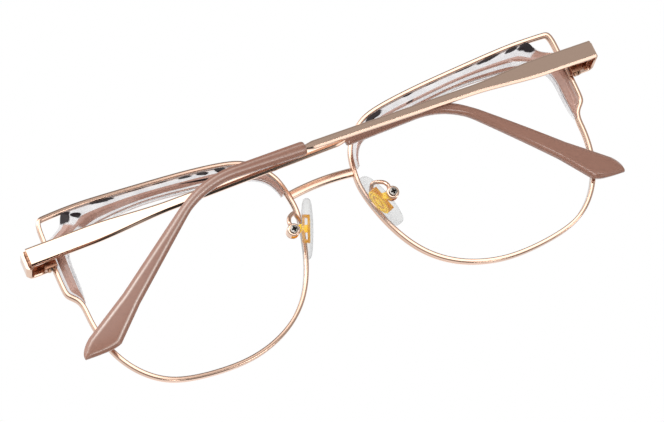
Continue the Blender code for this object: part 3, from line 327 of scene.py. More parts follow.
def rim_middle(count):
    """The middle of the wire, from one end of its split round to the other, across and up."""
    edge = smooth_curve(on_front(RIM_OUTLINE), closed=True)
    middle = edge + inward(edge) * WIRE_WIDTH / 2
    middle[[0, -1]] = (middle[0] + middle[-1]) / 2
    along = lengths_along(middle)
    wanted = np.linspace(RIM_SPLIT / 2, along[-1] - RIM_SPLIT / 2, count)
    return np.stack([np.interp(wanted, along, column) for column in middle.T], axis=1)


def rounded(corners, steps=3):
    """Closed outlines of (across, deep, radius) corners with each corner cut to an arc: the arc
    is a quadratic curve between the points one radius away along both sides, and the radius is
    never more than 0.45 of the shorter side."""
    corners = np.array(corners, float)
    place = corners[..., :2]
    back, on = np.roll(place, 1, axis=-2) - place, np.roll(place, -1, axis=-2) - place
    before = np.maximum(np.linalg.norm(back, axis=-1, keepdims=True), 1e-6)
    after = np.maximum(np.linalg.norm(on, axis=-1, keepdims=True), 1e-6)
    radius = np.minimum(corners[..., 2:], 0.45 * np.minimum(before, after))
    first = (place + back / before * radius)[..., None, :]
    last = (place + on / after * radius)[..., None, :]
    t = np.linspace(0.0, 1.0, steps + 1)[:, None]
    arcs = (1 - t) ** 2 * first + 2 * t * (1 - t) * place[..., None, :] + t**2 * last
    return arcs.reshape(*corners.shape[:-2], -1, 2)


def surface(name, grids, material, side, sharp):
    """A mesh over grids of points in millimetres: rows along each, and columns round it that
    close on themselves. The first and last rows are closed by fans about their middles, and
    faces that point inwards, as a negative volume tells, are turned."""
    vertices, faces, used = [], [], 0
    for grid in grids if isinstance(grids, list) else [grids]:
        points = np.array(grid, float)
        points[..., 0] *= side
        rows, columns = points.shape[:2]
        index = used + np.arange(rows * columns).reshape(rows, columns)
        beside = np.roll(index, -1, axis=1)
        quads = np.stack([index[:-1], beside[:-1], beside[1:], index[1:]], axis=2).reshape(-1, 4)
        flat = np.vstack([points.reshape(-1, 3), points[[0, -1]].mean(axis=1)])
        start = used + rows * columns
        fans = [np.stack([np.full(columns, start), beside[0], index[0]], axis=1),
                np.stack([np.full(columns, start + 1), index[-1], beside[-1]], axis=1)]
        a, b, c, d = (flat[quads[:, i] - used] - flat[0] for i in range(4))
        turned_in = (np.cross(a, b) * c).sum() + (np.cross(a, c) * d).sum() < 0
        order = slice(None, None, -1) if turned_in else slice(None)
        faces += quads[:, order].tolist() + fans[0][:, order].tolist() + fans[1][:, order].tolist()
        vertices.append(flat)
        used += len(flat)
    mesh = bpy.data.meshes.new(name)
    mesh.from_pydata((np.vstack(vertices) * MM).tolist(), [], faces)
    mesh.shade_smooth()
    mesh.set_sharp_from_angle(angle=math.radians(sharp))
    mesh.materials.append(material)
    item = bpy.data.objects.new(name, mesh)
    bpy.context.scene.collection.objects.link(item)
    return item


def dress(node, form, grids, material, sharp=SHARP_ANGLE):
    """A piece that stands for a node of the frame: it rides on that node's body.
    A shape is given as on the wearer's left and is mirrored for the right."""
    side = -1 if node.startswith("right") else 1
    piece = surface(f"{node}_{form}", grids, material, side, sharp)
    record = frame["record"]
    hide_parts(node)
    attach(piece, next(b for b, ns in record["behaviour"]["bodies"].items() if node in ns))
    return piece


def stand_on_front(flat, deep):
    """Places across and up with a depth behind the front's bow, as points in the frame."""
    y = bow(np.abs(flat[..., 0]), flat[..., 1]) + deep - ORIGIN_BACK
    return np.stack([flat[..., 0], y, flat[..., 1] + EYE_BELOW_BRIDGE], axis=-1)


def rim_surface():
    """The wire's rounded section, with its lens groove inside and one shallow rolled line
    outside, carried along the middle line of the rim."""
    w, d = WIRE_WIDTH / 2, WIRE_DEPTH / 2
    section = rounded([(-w, -d, 0.12), (-w, -GROOVE_HALF, 0.04), (GROOVE_DEPTH - w, 0.0, 0.1),
                       (-w, GROOVE_HALF, 0.04), (-w, d, 0.4), (w, d, 0.45),
                       (w, WIRE_LINE_HALF, 0.1), (w - WIRE_LINE_DEPTH, 0.0, 0.1),
                       (w, -WIRE_LINE_HALF, 0.1), (w, -d, 0.25)])
    middle = rim_middle(RIM_ROWS)
    flat = middle[:, None, :] - inward(middle)[:, None, :] * section[None, :, :1]
    deep = bow(middle[:, 0], middle[:, 1])[:, None] - bow(flat[..., 0], flat[..., 1])
    return stand_on_front(flat, deep + section[None, :, 1])


WIRE_PLATE = rose_gold("rose_gold_plated_wire", 0.15, colour="#EFC9B2")
for word in SIDES:
    dress(f"{word}_rim", "wire", rim_surface(), WIRE_PLATE)


# Bridge: a flat bar of the same metal with softened edges, arched a little and soldered between
# the rims. Its faces are brushed lengthwise.
BRIDGE_HEIGHT = 2.1
BRIDGE_DEPTH = 1.5
BRIDGE_RISE = 0.55
BRIDGE_CHAMFER = 0.3
BRIDGE_ROUND = 0.1
NOSE_SIDE_SHARE = 0.3


def nose_edge(levels):
    """How far from the middle the wire's outer edge lies at levels beside the nose."""
    middle = rim_middle(RIM_ROWS)
    edge = middle - inward(middle) * WIRE_WIDTH / 2
    nose = edge[edge[:, 0] < RIMS_APART / 2 + EYE_WIDTH * NOSE_SIDE_SHARE]
    order = np.argsort(nose[:, 1])
    return np.interp(levels, nose[order, 1], nose[order, 0])


def bridge_surface(count=60):
    """A bar with rounded chamfers whose reach at each level is the wire's edge there, and whose
    rise falls off with the square of the share of the way to the rim."""
    half, low, cut = BRIDGE_DEPTH / 2, -BRIDGE_HEIGHT, BRIDGE_CHAMFER
    section = rounded([(deep, up, BRIDGE_ROUND) for deep, up in (
        (-half, low + cut), (-half, -cut), (cut - half, 0.0), (half - cut, 0.0), (half, -cut),
        (half, low + cut), (half - cut, low), (cut - half, low))])
    share = np.linspace(-1.0, 1.0, count)[:, None]
    reach = nose_edge(section[:, 1])[None, :] - 2 * SEAT
    across = share * reach
    up = section[None, :, 1] + BRIDGE_RISE * (1 - share**2)
    deep = section[None, :, 0] + bow(reach, section[None, :, 1]) + 0 * share
    return np.stack([across, deep - ORIGIN_BACK, up + EYE_BELOW_BRIDGE], axis=-1)


BRUSHED_PLATE = rose_gold("rose_gold_plated_bar_brushed", 0.17, brushed=0.04)
dress("bridge", "bar", bridge_surface(), BRUSHED_PLATE)


# Brow inserts: cast acetate in layers, clear over dusty pink with smoky flecks at the wire, cut
# with bevels and polished. Each is held in the groove of the wire.
INSERT_FRONT = 1.7
INSERT_BACK = 2.8
INSERT_LENS_BACK = 1.4
INSERT_LENS_LIP = 0.6
INSERT_GROOVE = 0.45
INSERT_SEAT_FRONT = 0.8
INSERT_SEAT_BACK = 1.0
INSERT_FULL_WIDTH = 4.5
INSERT_FIRST_EDGE = 0.38
INSERT_SECOND_EDGE = 0.68
INSERT_EDGE_DROP = 0.2
INSERT_FRONT_BEVEL = 0.25
INSERT_LENS_SIDE = (
    (0.039, 0.705), (0.048, 0.743), (0.073, 0.793), (0.118, 0.830), (0.210, 0.861),
    (0.336, 0.878), (0.482, 0.894), (0.601, 0.896), (0.729, 0.882), (0.799, 0.865),
    (0.860, 0.840), (0.901, 0.809), (0.922, 0.759), (0.927, 0.683), (0.928, 0.606),
    (0.931, 0.558), (0.936, 0.526),
)
INSERT_SWEEP = ((0.889, 0.968), (0.901, 0.940), (0.915, 0.913), (0.935, 0.894), (0.964, 0.876))
INSERT_NOSE_TIP = 0.705
INSERT_SWEEP_TOP = 0.880
INSERT_LEG_TOP = 0.857
INSERT_LEG_TIP = 0.530
INSERT_TURN = (0.66, 0.80)
INSERT_STATIONS = 700
INSERT_BROW_FROM = 0.7
INSERT_FAR_OUT = 0.9
INSERT_LEAST = 0.25
INSERT_EDGE_SHARE = 0.3
INSERT_THINNEST = 0.05
SWEEP_STATIONS = 60
RIDGE_FADE = 10
# The share of the way across past which a point counts as on the wall at the lens
WALL_FROM = 0.97


def insert_edges():
    """The insert's wire side and lens side at each station, and how much of its seating ridge
    each station has: none in the open sweep under the cat-eye corner."""
    middle = rim_middle(INSERT_STATIONS)
    seat = middle + inward(middle) * (WIRE_WIDTH / 2 + 2 * SEAT)
    up = (seat[:, 1] + EYE_BELOW_BRIDGE) / EYE_HEIGHT
    across = (seat[:, 0] - RIMS_APART / 2) / EYE_WIDTH
    place = np.arange(len(seat))
    top = int(np.argmax(up))
    nose = (place >= top) & (up > INSERT_NOSE_TIP) & (across < INSERT_BROW_FROM)
    brow = ((across >= INSERT_BROW_FROM) & (across < INSERT_SWEEP_TOP)
            & (up > INSERT_FAR_OUT))
    run = seat[nose | brow][::-1]
    sweep = smooth_curve(np.vstack([run[-1:], on_front(INSERT_SWEEP)]))
    sweep = spaced(sweep, SWEEP_STATIONS)[1:]
    later, outer = place >= len(seat) // 2, across > INSERT_FAR_OUT
    low, high = later & (up > INSERT_LEG_TIP) & outer, ~later & (up < INSERT_LEG_TOP) & outer
    leg = np.vstack([seat[high][::-1], seat[low][::-1]])
    wire_side = np.vstack([run, sweep, leg])
    ridge = np.concatenate([np.ones(len(run)), np.zeros(len(sweep) + len(leg))])
    ridge[:RIDGE_FADE] = np.linspace(0.0, 1.0, RIDGE_FADE)
    ridge[len(run) - RIDGE_FADE:len(run)] = np.linspace(1.0, 0.0, RIDGE_FADE)
    line = smooth_curve(on_front(INSERT_LENS_SIDE))
    along = lengths_along(line) / lengths_along(line)[-1]
    wanted = np.concatenate([
        lengths_along(run) / lengths_along(run)[-1] * INSERT_TURN[0],
        np.interp(np.arange(1, len(sweep) + 1), (0, len(sweep)), INSERT_TURN),
        INSERT_TURN[1] + (1 - INSERT_TURN[1]) * (1 + np.arange(len(leg))) / len(leg),
    ])
    lens_side = np.stack([np.interp(wanted, along, column) for column in line.T], axis=1)
    return wire_side, lens_side, ridge


def sections(corners, steps=3):
    """The rounded section at each station of a piece, from corners whose place and radius are
    given for every station or once for all."""
    columns = [np.stack(np.broadcast_arrays(*corner), axis=1) for corner in corners]
    return rounded(np.stack(columns, axis=1), steps)


def insert_surface():
    """The section between the two sides: a flat front with small bevels, a slope that rises from
    the wire, the thickest face at the back and a bevel down to the lens, all shrinking with the
    width. Gives the points, and for each its distance along, its distance from the wire and its
    share of the way across, which goes on past 1 down the wall at the lens."""
    outer, inner, ridge = insert_edges()
    wide = np.maximum(np.linalg.norm(inner - outer, axis=1), INSERT_THINNEST)
    toward = (inner - outer) / wide[:, None]
    full = np.minimum(1.0, INSERT_LEAST + wide / INSERT_FULL_WIDTH)
    front = INSERT_SEAT_FRONT + (INSERT_FRONT - INSERT_SEAT_FRONT) * full
    back = INSERT_SEAT_BACK + (INSERT_BACK - INSERT_SEAT_BACK) * full
    lens_back = INSERT_LENS_LIP + (INSERT_LENS_BACK - INSERT_LENS_LIP) * full
    bevel = np.minimum(INSERT_FRONT_BEVEL * full, INSERT_EDGE_SHARE * wide)
    groove = np.minimum(INSERT_GROOVE, INSERT_EDGE_SHARE * wide)
    rise = ridge * (GROOVE_DEPTH - SEAT)
    one, none = np.ones_like(wide), np.zeros_like(wide)
    corners = (
        (none, -INSERT_SEAT_FRONT * one, 0.05), (none, (SEAT - GROOVE_HALF) * one, 0.03),
        (-rise, none, 0.05), (none, (GROOVE_HALF - SEAT) * one, 0.03),
        (none, INSERT_SEAT_BACK * one, 0.12),
        (INSERT_FIRST_EDGE * wide, back - INSERT_EDGE_DROP * full, 0.25),
        (INSERT_SECOND_EDGE * wide, back, 0.10), (wide, lens_back, 0.12),
        (wide, GROOVE_HALF * one, 0.03), (wide - groove, none, 0.05),
        (wide, -GROOVE_HALF * one, 0.03), (wide, bevel - front, 0.05),
        (wide - bevel, -front, 0.06), (bevel, -front, 0.06),
    )
    section = sections([(a, d, r * full) for a, d, r in corners], 2)
    flat = outer[:, None, :] + toward[:, None, :] * section[..., :1]
    inside, deep = section[..., 0], section[..., 1]
    wall = np.clip((lens_back[:, None] - deep) / (lens_back + front)[:, None], 0.0, 1.0)
    across = inside / wide[:, None]
    across = np.where(across > WALL_FROM, 1 + wall, across)
    along = lengths_along(outer)[:, None] + 0 * inside
    return stand_on_front(flat, deep), np.stack([along, inside, across], axis=-1)


# Where the smoky flecks lie: middle along the wire side from the nose tip, middle across from the
# wire, half length and half width, all in millimetres
FLECKS = {
    "left": ((57.4, 0.8, 1.75, 1.2), (56.4, 3.1, 0.85, 1.25), (47.5, 1.0, 3.0, 1.15),
             (38.7, 0.5, 2.8, 0.32), (32.8, 0.5, 1.9, 0.30), (27.1, 1.0, 1.7, 0.45),
             (22.8, 1.1, 1.4, 0.65), (18.3, 1.1, 1.4, 0.75), (25.3, 2.9, 4.9, 0.20)),
    "right": ((14.0, 0.8, 3.1, 0.85), (24.4, 0.4, 1.4, 0.35), (24.7, 2.65, 1.1, 0.22),
              (31.0, 0.4, 2.0, 0.20), (40.0, 0.6, 2.4, 0.40), (46.7, 1.0, 2.8, 1.1),
              (53.0, 1.15, 1.6, 1.25), (56.9, 1.4, 2.1, 1.7)),
}
# The pink layer's bands: shares of the way across, and past 1 shares of the wall at the lens.
# From the cat-eye corner down the leg it is one wide core, and so it is at the nose.
PINK_BANDS = {
    "left": ((0.52, 0.89), (0.96, 1.16), (1.62, 2.02)),
    "right": ((0.57, 0.77), (0.90, 1.20), (1.62, 2.02)),
}
LEG_CORES = {"left": (0.12, 0.68), "right": (0.05, 1.06)}
LEG_FROM = 58.8
LEG_FADE = 0.6
NOSE_CORE = (0.45, 1.5)
NOSE_TO = 12.0
NOSE_FADE = 2.0
BAND_SOFT = 0.02
FLECK_FRAY = 0.9
FLECK_EDGE = (1.62, 1.30)
NO_FLECK = 9.0
CLEAR_SHARE = 0.75
ACETATE_IOR = 1.49
PINK_COLOURS = ("#A87D6E", "#C29C8E")
CLEAR_COLOURS = ("#CFCCCE", "#FBFAFA")
FLECK_COLOUR = "#2B2426"


def seen_through(tree, shader):
    """A clear material's shader: walls seen from their inner side let all of the light pass."""
    inner = add(tree, "ShaderNodeNewGeometry", give="Backfacing")
    through = add(tree, "ShaderNodeBsdfTransparent")
    return add(tree, "ShaderNodeMixShader", {0: inner, 1: shader, 2: through})


def acetate(word):
    """Clear acetate with a pink layer that the bevels cut into bands, and smoky flecks. A fleck
    is where the distance from its middle, in its own half sizes, and a noise stay low together.
    That noise has features of 1.4 mm, and the streaks in the layers are 4 mm long."""
    material, tree, place = new_material(f"layered_acetate_polished_{word}")
    laid = add(tree, "ShaderNodeAttribute", give="Vector", attribute_name="acetate_place")
    curl = add(tree, "ShaderNodeTexNoise", {"Vector": place, "Scale": 700.0, "Detail": 3.0})
    nearest = NO_FLECK
    for along, inside, half, deep in FLECKS[word]:
        off = add(tree, "ShaderNodeVectorMath", {0: laid, 1: (along, inside, 0.0)},
                  operation="SUBTRACT")
        sized = add(tree, "ShaderNodeVectorMath", {0: off, 1: (1 / half, 1 / deep, 0.0)},
                    operation="MULTIPLY")
        far = add(tree, "ShaderNodeVectorMath", {0: sized}, "Value", operation="LENGTH")
        nearest = add(tree, "ShaderNodeMath", {0: nearest, 1: far}, operation="MINIMUM")
    frayed = add(tree, "ShaderNodeMath", {0: curl, 1: FLECK_FRAY, 2: nearest},
                 operation="MULTIPLY_ADD")
    dark = add(tree, "ShaderNodeMapRange", {"Value": frayed, "From Min": FLECK_EDGE[0],
                                            "From Max": FLECK_EDGE[1]},
               interpolation_type="SMOOTHSTEP")
    run = add(tree, "ShaderNodeSeparateXYZ", {0: laid}, "X")
    across = add(tree, "ShaderNodeSeparateXYZ", {0: laid}, "Z")

    def banded(bands):
        """1 where the share of the way across lies in one of the bands."""
        inside = 0.0
        for start, end in bands:
            above, below = (add(tree, "ShaderNodeMapRange", {"Value": across, "From Min": edge,
                                                             "From Max": edge + soft})
                            for edge, soft in ((start, BAND_SOFT), (end, -BAND_SOFT)))
            inside = add(tree, "ShaderNodeMath", {0: above, 1: below, 2: inside},
                         operation="MULTIPLY_ADD")
        return inside

    on_leg = add(tree, "ShaderNodeMapRange", {"Value": run, "From Min": LEG_FROM,
                                              "From Max": LEG_FROM + LEG_FADE})
    on_nose = add(tree, "ShaderNodeMapRange", {"Value": run, "From Min": NOSE_TO,
                                               "From Max": NOSE_TO - NOSE_FADE})
    pink = add(tree, "ShaderNodeMix", {0: on_leg, 2: banded(PINK_BANDS[word]),
                                       3: banded([LEG_CORES[word]])})
    pink = add(tree, "ShaderNodeMix", {0: on_nose, 2: pink, 3: banded([NOSE_CORE])})
    streaks = add(tree, "ShaderNodeTexNoise", {"Vector": place, "Scale": 260.0, "Detail": 2.0})
    blush, milk = (add(tree, "ShaderNodeMix", {0: streaks, 6: linear(deep), 7: linear(pale)}, 2,
                       data_type="RGBA") for deep, pale in (PINK_COLOURS, CLEAR_COLOURS))
    bright = add(tree, "ShaderNodeBsdfPrincipled", {"Base Color": milk, "Roughness": 0.06,
                                                    "IOR": ACETATE_IOR})
    through = add(tree, "ShaderNodeBsdfTransparent", {"Color": milk})
    clear = add(tree, "ShaderNodeMixShader", {0: CLEAR_SHARE, 1: bright, 2: through})
    body = add(tree, "ShaderNodeBsdfPrincipled", {
        "Base Color": blush, "Roughness": 0.12, "IOR": ACETATE_IOR, "Coat Weight": 0.5,
        "Coat Roughness": 0.05})
    smoky = add(tree, "ShaderNodeBsdfPrincipled", {
        "Base Color": linear(FLECK_COLOUR), "Roughness": 0.08, "IOR": 1.3})
    layered = add(tree, "ShaderNodeMixShader", {0: pink, 1: clear, 2: body})
    whole = add(tree, "ShaderNodeMixShader", {0: dark, 1: layered, 2: smoky})
    return finished(material, seen_through(tree, whole))


def store(piece, name, values, kind="FLOAT", field="value", wide=1):
    """Keeps a number or a vector for each of a mesh's points, in the order in which surface()
    made them, and zero for those that are left, which are the middles of its ends."""
    kept = np.zeros(len(piece.data.vertices) * wide, np.float32)
    kept[:values.size] = values.ravel()
    piece.data.attributes.new(name, kind, "POINT").data.foreach_set(field, kept)


INSERT_SHARP = 20.0
for word in SIDES:
    points, laid = insert_surface()
    insert = dress(f"{word}_brow_insert", "layered", points, acetate(word), INSERT_SHARP)
    store(insert, "acetate_place", laid, "FLOAT_VECTOR", "vector", 3)


# Lenses: clear resin, curved, with a ridge round the edge that sits in the groove of the wire and
# of the insert. The coating leaves almost no reflection.
LENS_THICKNESS = 1.8
LENS_BULGE = 1.6
LENS_BEVEL_HALF = 0.3
LENS_IN_GROOVE = 0.3
LENS_BELOW_NOSE_TIP = 0.045
LENS_BELOW_LEG_TIP = 0.060
LENS_ROWS = 240
LENS_SHARES = np.array([0.02, 0.2, 0.4, 0.6, 0.8, 0.93, 1.0])
SEATED_STATIONS = slice(14, -6, 6)


def lens_edges():
    """The line of the lens's ridge, in the insert's groove and then in the wire's, and the line
    of its body, which just clears both."""
    wire_side, lens_side, _ = insert_edges()
    wide = np.maximum(np.linalg.norm(wire_side - lens_side, axis=1), INSERT_THINNEST)
    toward = (wire_side - lens_side) / wide[:, None]
    groove = np.minimum(INSERT_GROOVE, INSERT_EDGE_SHARE * wide)
    reach = np.minimum(LENS_IN_GROOVE, groove - SEAT)
    seated = SEATED_STATIONS
    ridge_high = (lens_side + toward * reach[:, None])[seated]
    body_high = (lens_side - toward * 2 * SEAT)[seated]
    middle = rim_middle(400)
    normals = inward(middle)
    up = (middle[:, 1] + EYE_BELOW_BRIDGE) / EYE_HEIGHT
    across = (middle[:, 0] - RIMS_APART / 2) / EYE_WIDTH
    later = np.arange(len(middle)) >= len(middle) // 4
    bare = later & (((across < 0.5) & (up < INSERT_NOSE_TIP - LENS_BELOW_NOSE_TIP))
                    | ((across >= 0.5) & (up < INSERT_LEG_TIP - LENS_BELOW_LEG_TIP)))
    ridge_low = (middle + normals * (WIRE_WIDTH / 2 - LENS_IN_GROOVE))[bare][::-1]
    body_low = (middle + normals * (WIRE_WIDTH / 2 + 2 * SEAT))[bare][::-1]
    return (spaced(np.vstack([ridge_high, ridge_low]), LENS_ROWS),
            spaced(np.vstack([body_high, body_low]), LENS_ROWS))


def lens_surface():
    """Rings from the middle of the front to the edge, over the ridge and back to the middle. The
    depth falls off with the square of the share of the way to the edge."""
    ridge, body = lens_edges()
    centre = body.mean(axis=0)
    half = LENS_THICKNESS / 2
    rings = [(centre + (body - centre) * s, s, -half) for s in LENS_SHARES]
    rings += [(body, 1.0, -LENS_BEVEL_HALF), (ridge, 1.0, 0.0), (body, 1.0, LENS_BEVEL_HALF)]
    rings += [(centre + (body - centre) * s, s, half) for s in LENS_SHARES[::-1]]
    return np.stack([stand_on_front(flat, depth - LENS_BULGE * (1 - s**2))
                     for flat, s, depth in rings])


def coated_resin():
    """Clear coated resin: all of the light passes but a trace of reflection, more at a glance."""
    material, tree = new_material("clear_coated_resin")[:2]
    through = add(tree, "ShaderNodeBsdfTransparent")
    sheen = add(tree, "ShaderNodeBsdfGlossy", {"Color": linear("#F4F6F5"), "Roughness": 0.02})
    glance = add(tree, "ShaderNodeFresnel", {"IOR": 1.03})
    return finished(material, add(tree, "ShaderNodeMixShader", {0: glance, 1: through, 2: sheen}))


RESIN = coated_resin()
for word in SIDES:
    dress(f"{word}_lens", "resin", lens_surface(), RESIN)


# End pieces: the same metal in flat strip, bent to an L whose short leg is brazed to the wire.
# The long leg runs back to the hinge, hollowed a little behind the knuckles.
STRIP_THICKNESS = 1.2
STRIP_HEIGHT = 4.4
STRIP_CHAMFER = 0.35
STRIP_LOWER_CHAMFER = 0.52
END_REACH = 6.1
FRONT_HALF_WIDTH = RIMS_APART / 2 + EYE_WIDTH + END_REACH
END_CORNER_RADIUS = 1.2
END_FRONT_LEVEL = 2.85
TEMPLE_LEVEL = 3.65
END_REAR_Y = 10.0
BUTT_GAP = 0.12
HINGE_INSET = 1.5
HINGE_BEHIND_BUTT = 0.45
KNUCKLE_RELIEF = 0.9
STRIP_SHARP = 25.0


def strip_section(height, from_axis):
    """The strip's section at each station: across inward from its outer face, with rounded
    chamfers outside, and up. Beside the hinge axis nothing reaches into the relief's circle."""
    half = np.array(height) / 2
    cut, low = np.minimum(STRIP_CHAMFER, 0.3 * half), np.minimum(STRIP_LOWER_CHAMFER, 0.45 * half)
    inside = -STRIP_THICKNESS + 0 * half
    corners = ((0 * half, half - cut, 0.08), (-cut, half, 0.08), (inside, half, 0.16),
               (inside, -half, 0.16), (-low, -half, 0.06), (0 * half, low - half, 0.06))
    section = sections(corners)
    room = np.maximum(KNUCKLE_RELIEF**2 - np.array(from_axis) ** 2, 0.0)
    limit = np.where(room > 0, np.sqrt(room) - HINGE_INSET, -STRIP_THICKNESS)
    section[..., 0] = np.maximum(section[..., 0], limit[:, None])
    return section


def end_piece_surface():
    """The strip's section along a straight, a quarter turn and a straight, climbing a little."""
    rim_side = RIMS_APART / 2 + EYE_WIDTH
    front_y = bow(rim_side - WIRE_WIDTH / 2, END_FRONT_LEVEL) - STRIP_THICKNESS / 2
    radius = END_CORNER_RADIUS + STRIP_THICKNESS / 2
    turns = np.radians(np.linspace(-90.0, 0.0, 19))
    straight = np.array([0.4, 0.9, *np.linspace(0.94, 1.0, 9)])
    corner = np.array([FRONT_HALF_WIDTH - radius, front_y + radius])
    way = np.stack([np.cos(turns), np.sin(turns)], axis=1)
    back = corner[1] + (END_REAR_Y - corner[1]) * straight
    place = np.vstack([[rim_side + SEAT, front_y], corner + radius * way,
                       np.stack([FRONT_HALF_WIDTH + 0 * back, back], axis=1)])
    out = np.vstack([way[:1], way, np.tile(way[-1:], (len(back), 1))])
    section = strip_section(STRIP_HEIGHT + 0 * place[:, 0],
                            place[:, 1] - END_REAR_Y - HINGE_BEHIND_BUTT)
    climb = (place[:, 1] - front_y) / (END_REAR_Y - front_y)
    level = END_FRONT_LEVEL + (TEMPLE_LEVEL - END_FRONT_LEVEL) * climb + EYE_BELOW_BRIDGE
    flat = place[:, None] + out[:, None] * section[..., :1] - (0.0, ORIGIN_BACK)
    return np.concatenate([flat, section[..., 1:] + level[:, None, None]], axis=-1)


STAMPED_PLATE = rose_gold("rose_gold_plated_strip", 0.10)
for word in SIDES:
    dress(f"{word}_end_piece", "strip", end_piece_surface(), STAMPED_PLATE, STRIP_SHARP)


# Rim locks and hinges: milled blocks and three-knuckle hinges of the same metal, soldered on and
# plated with it. Their screws are steel flashed with gold, with a slot in a domed head.
LOCK_WIDTH = 3.0
LOCK_DEPTH = 2.3
LOCK_HEIGHT = 2.05
LOCK_GAP = 0.3
LOCK_BLIND_WALL = 0.5
LOCK_SCREW = (0.55, 0.95, 0.6)
KNUCKLE_RADIUS = 0.8
KNUCKLE_HEIGHT = 1.0
KNUCKLE_GAP = 0.05
LEAF_THICKNESS = 0.8
FRONT_LEAF_LENGTH = 3.2
TEMPLE_LEAF_LENGTH = 3.4
HINGE_SCREW = (0.42, 0.7, 0.35)
EDGE_SOFT = 0.14
FOLDS = {"left": math.radians(0.95), "right": math.radians(4.8)}
# The colour painted down in a screw's recess: a painted shade
RECESS_SHADE_COLOUR = "#1E1B1A"
# Shares of a screw head's height: the fall of its dome, the drop at its rim and its recess
DOME_FALL = 0.16
RIM_DROP = 0.25
RECESS_DEPTH = 0.7
# Shares of its radius: half an arm of the recess, and how far the arms of a cross or slot reach
ARM_HALF = 0.19
CROSS_REACH = 0.66
SLOT_REACH = 1.2
# The locks and hinges take a rougher plate in a darker colour than the rest: the roughness is
# their finish, the darker colour is painted shade for the recess at the hinge where they sit.
RECESS_SHADED_PLATE = rose_gold("rose_gold_plated_milling_shaded", 0.30, colour="#B98A70")


def raised(outline, low, high, soft=EDGE_SOFT, steps=4):
    """A closed outline raised from one level to another. Its ends are rounded by a quarter
    circle: the outline shrinks by the arc's inset on all sides."""
    outline = np.array(outline)
    middle, half = (outline.max(axis=0) + outline.min(axis=0)) / 2, np.ptp(outline, axis=0) / 2
    turn = np.radians(np.linspace(0.0, 90.0, steps + 1))
    inset, lift = soft * (1 - np.sin(turn)), soft * (1 - np.cos(turn))
    inset = np.concatenate([inset, inset[::-1]])[:, None, None]
    level = np.concatenate([low + lift, high - lift[::-1]])[:, None, None]
    flat = middle + (outline - middle) * (1 - inset / half)
    return np.concatenate([flat, level + 0 * flat[..., :1]], axis=-1)


def block(low, high, soft=EDGE_SOFT):
    """A box with all its edges rounded."""
    sides = [(low[0], low[1], soft), (high[0], low[1], soft), (high[0], high[1], soft),
             (low[0], high[1], soft)]
    return raised(rounded(sides, 4), low[2], high[2], soft)


def circle(radius, count=48):
    """Points round a circle."""
    turn = np.linspace(0.0, 2 * math.pi, count, endpoint=False)
    return np.stack([np.cos(turn), np.sin(turn)], axis=1) * radius


def screw_surface(shank, head, height, length, cross):
    """A screw with its head's seat at level 0. Rings run from the middle of the domed head over
    its rim, under it and down the shank. The recess is as deep as the nearer arm of a cross, or
    of a single slot, leaves it."""
    share = np.concatenate([np.linspace(0.04, 0.92, 16), [0.97, 1.0]])
    top = height - DOME_FALL * height * share**2
    top[-1] -= RIM_DROP * height
    ring = circle(1.0, 72)
    flat = share[:, None, None] * head * ring
    x, y = np.abs(flat[..., 0]), np.abs(flat[..., 1])
    arm, reach = ARM_HALF * head, (CROSS_REACH if cross else SLOT_REACH) * head

    def arm_cut(beside, along):
        """1 inside an arm, falling to 0 over 0.06 mm beside it and 0.1 mm at its end."""
        return np.clip((arm - beside) / 0.06 + 0.5, 0, 1) * np.clip((reach - along) / 0.1, 0, 1)

    cut = np.maximum(arm_cut(x, y), arm_cut(y, x)) if cross else arm_cut(x, y)
    level = top[:, None] - RECESS_DEPTH * height * cut
    lower = [(head, 0.0), (shank, 0.0), (shank, 0.1 - length), (shank - 0.1, -length)]
    flat = np.concatenate([flat, np.stack([r * ring for r, _ in lower])])
    level = np.concatenate([level, np.stack([z + 0 * ring[:, 0] for _, z in lower])])
    return np.concatenate([flat, level[..., None]], axis=-1), cut


def make_screw(node, sizes, length, cross, turn, place, steel):
    """A screw turned and moved to its place. Its recess is kept as a number, by which the steel is
    painted dark down in it, a painted shade.
    """
    shape, recess = screw_surface(*sizes, length, cross)
    store(dress(node, "turned", turn(shape) + place, steel), "recess", recess)


def screw_steel(name, face):
    """Turned steel: metal with the fine grain of the tool, 0.4 mm wide, which is coarser than a
    real one so that it shows. Down in the recess it is painted dark, a painted shade."""
    material, tree, place = new_material(name)
    grain = add(tree, "ShaderNodeTexNoise", {"Vector": place, "Scale": 2600.0, "Detail": 2.0})
    rough = add(tree, "ShaderNodeMapRange", {"Value": grain, "To Min": 0.16, "To Max": 0.34})
    down = add(tree, "ShaderNodeAttribute", give="Fac", attribute_name="recess")
    # Painted shade: the colour darkens down in the recess.
    colour = add(tree, "ShaderNodeMix", {0: down, 6: linear(face), 7: linear(RECESS_SHADE_COLOUR)}, 2,
                 data_type="RGBA")
    return finished(material, add(tree, "ShaderNodeBsdfPrincipled", {
        "Base Color": colour, "Metallic": 1.0, "Roughness": rough}))


def folded(points, word):
    """The open temple's points turned about its hinge to where it lies folded, in the frame of
    the wearer's left side."""
    turn = math.pi / 2 - FOLDS[word]
    cos, sin = math.cos(turn), math.sin(turn)
    x = cos * points[..., 0] - sin * points[..., 1]
    y = sin * points[..., 0] + cos * points[..., 1]
    return np.stack([x, y, points[..., 2]], axis=-1) + HINGE_PLACE


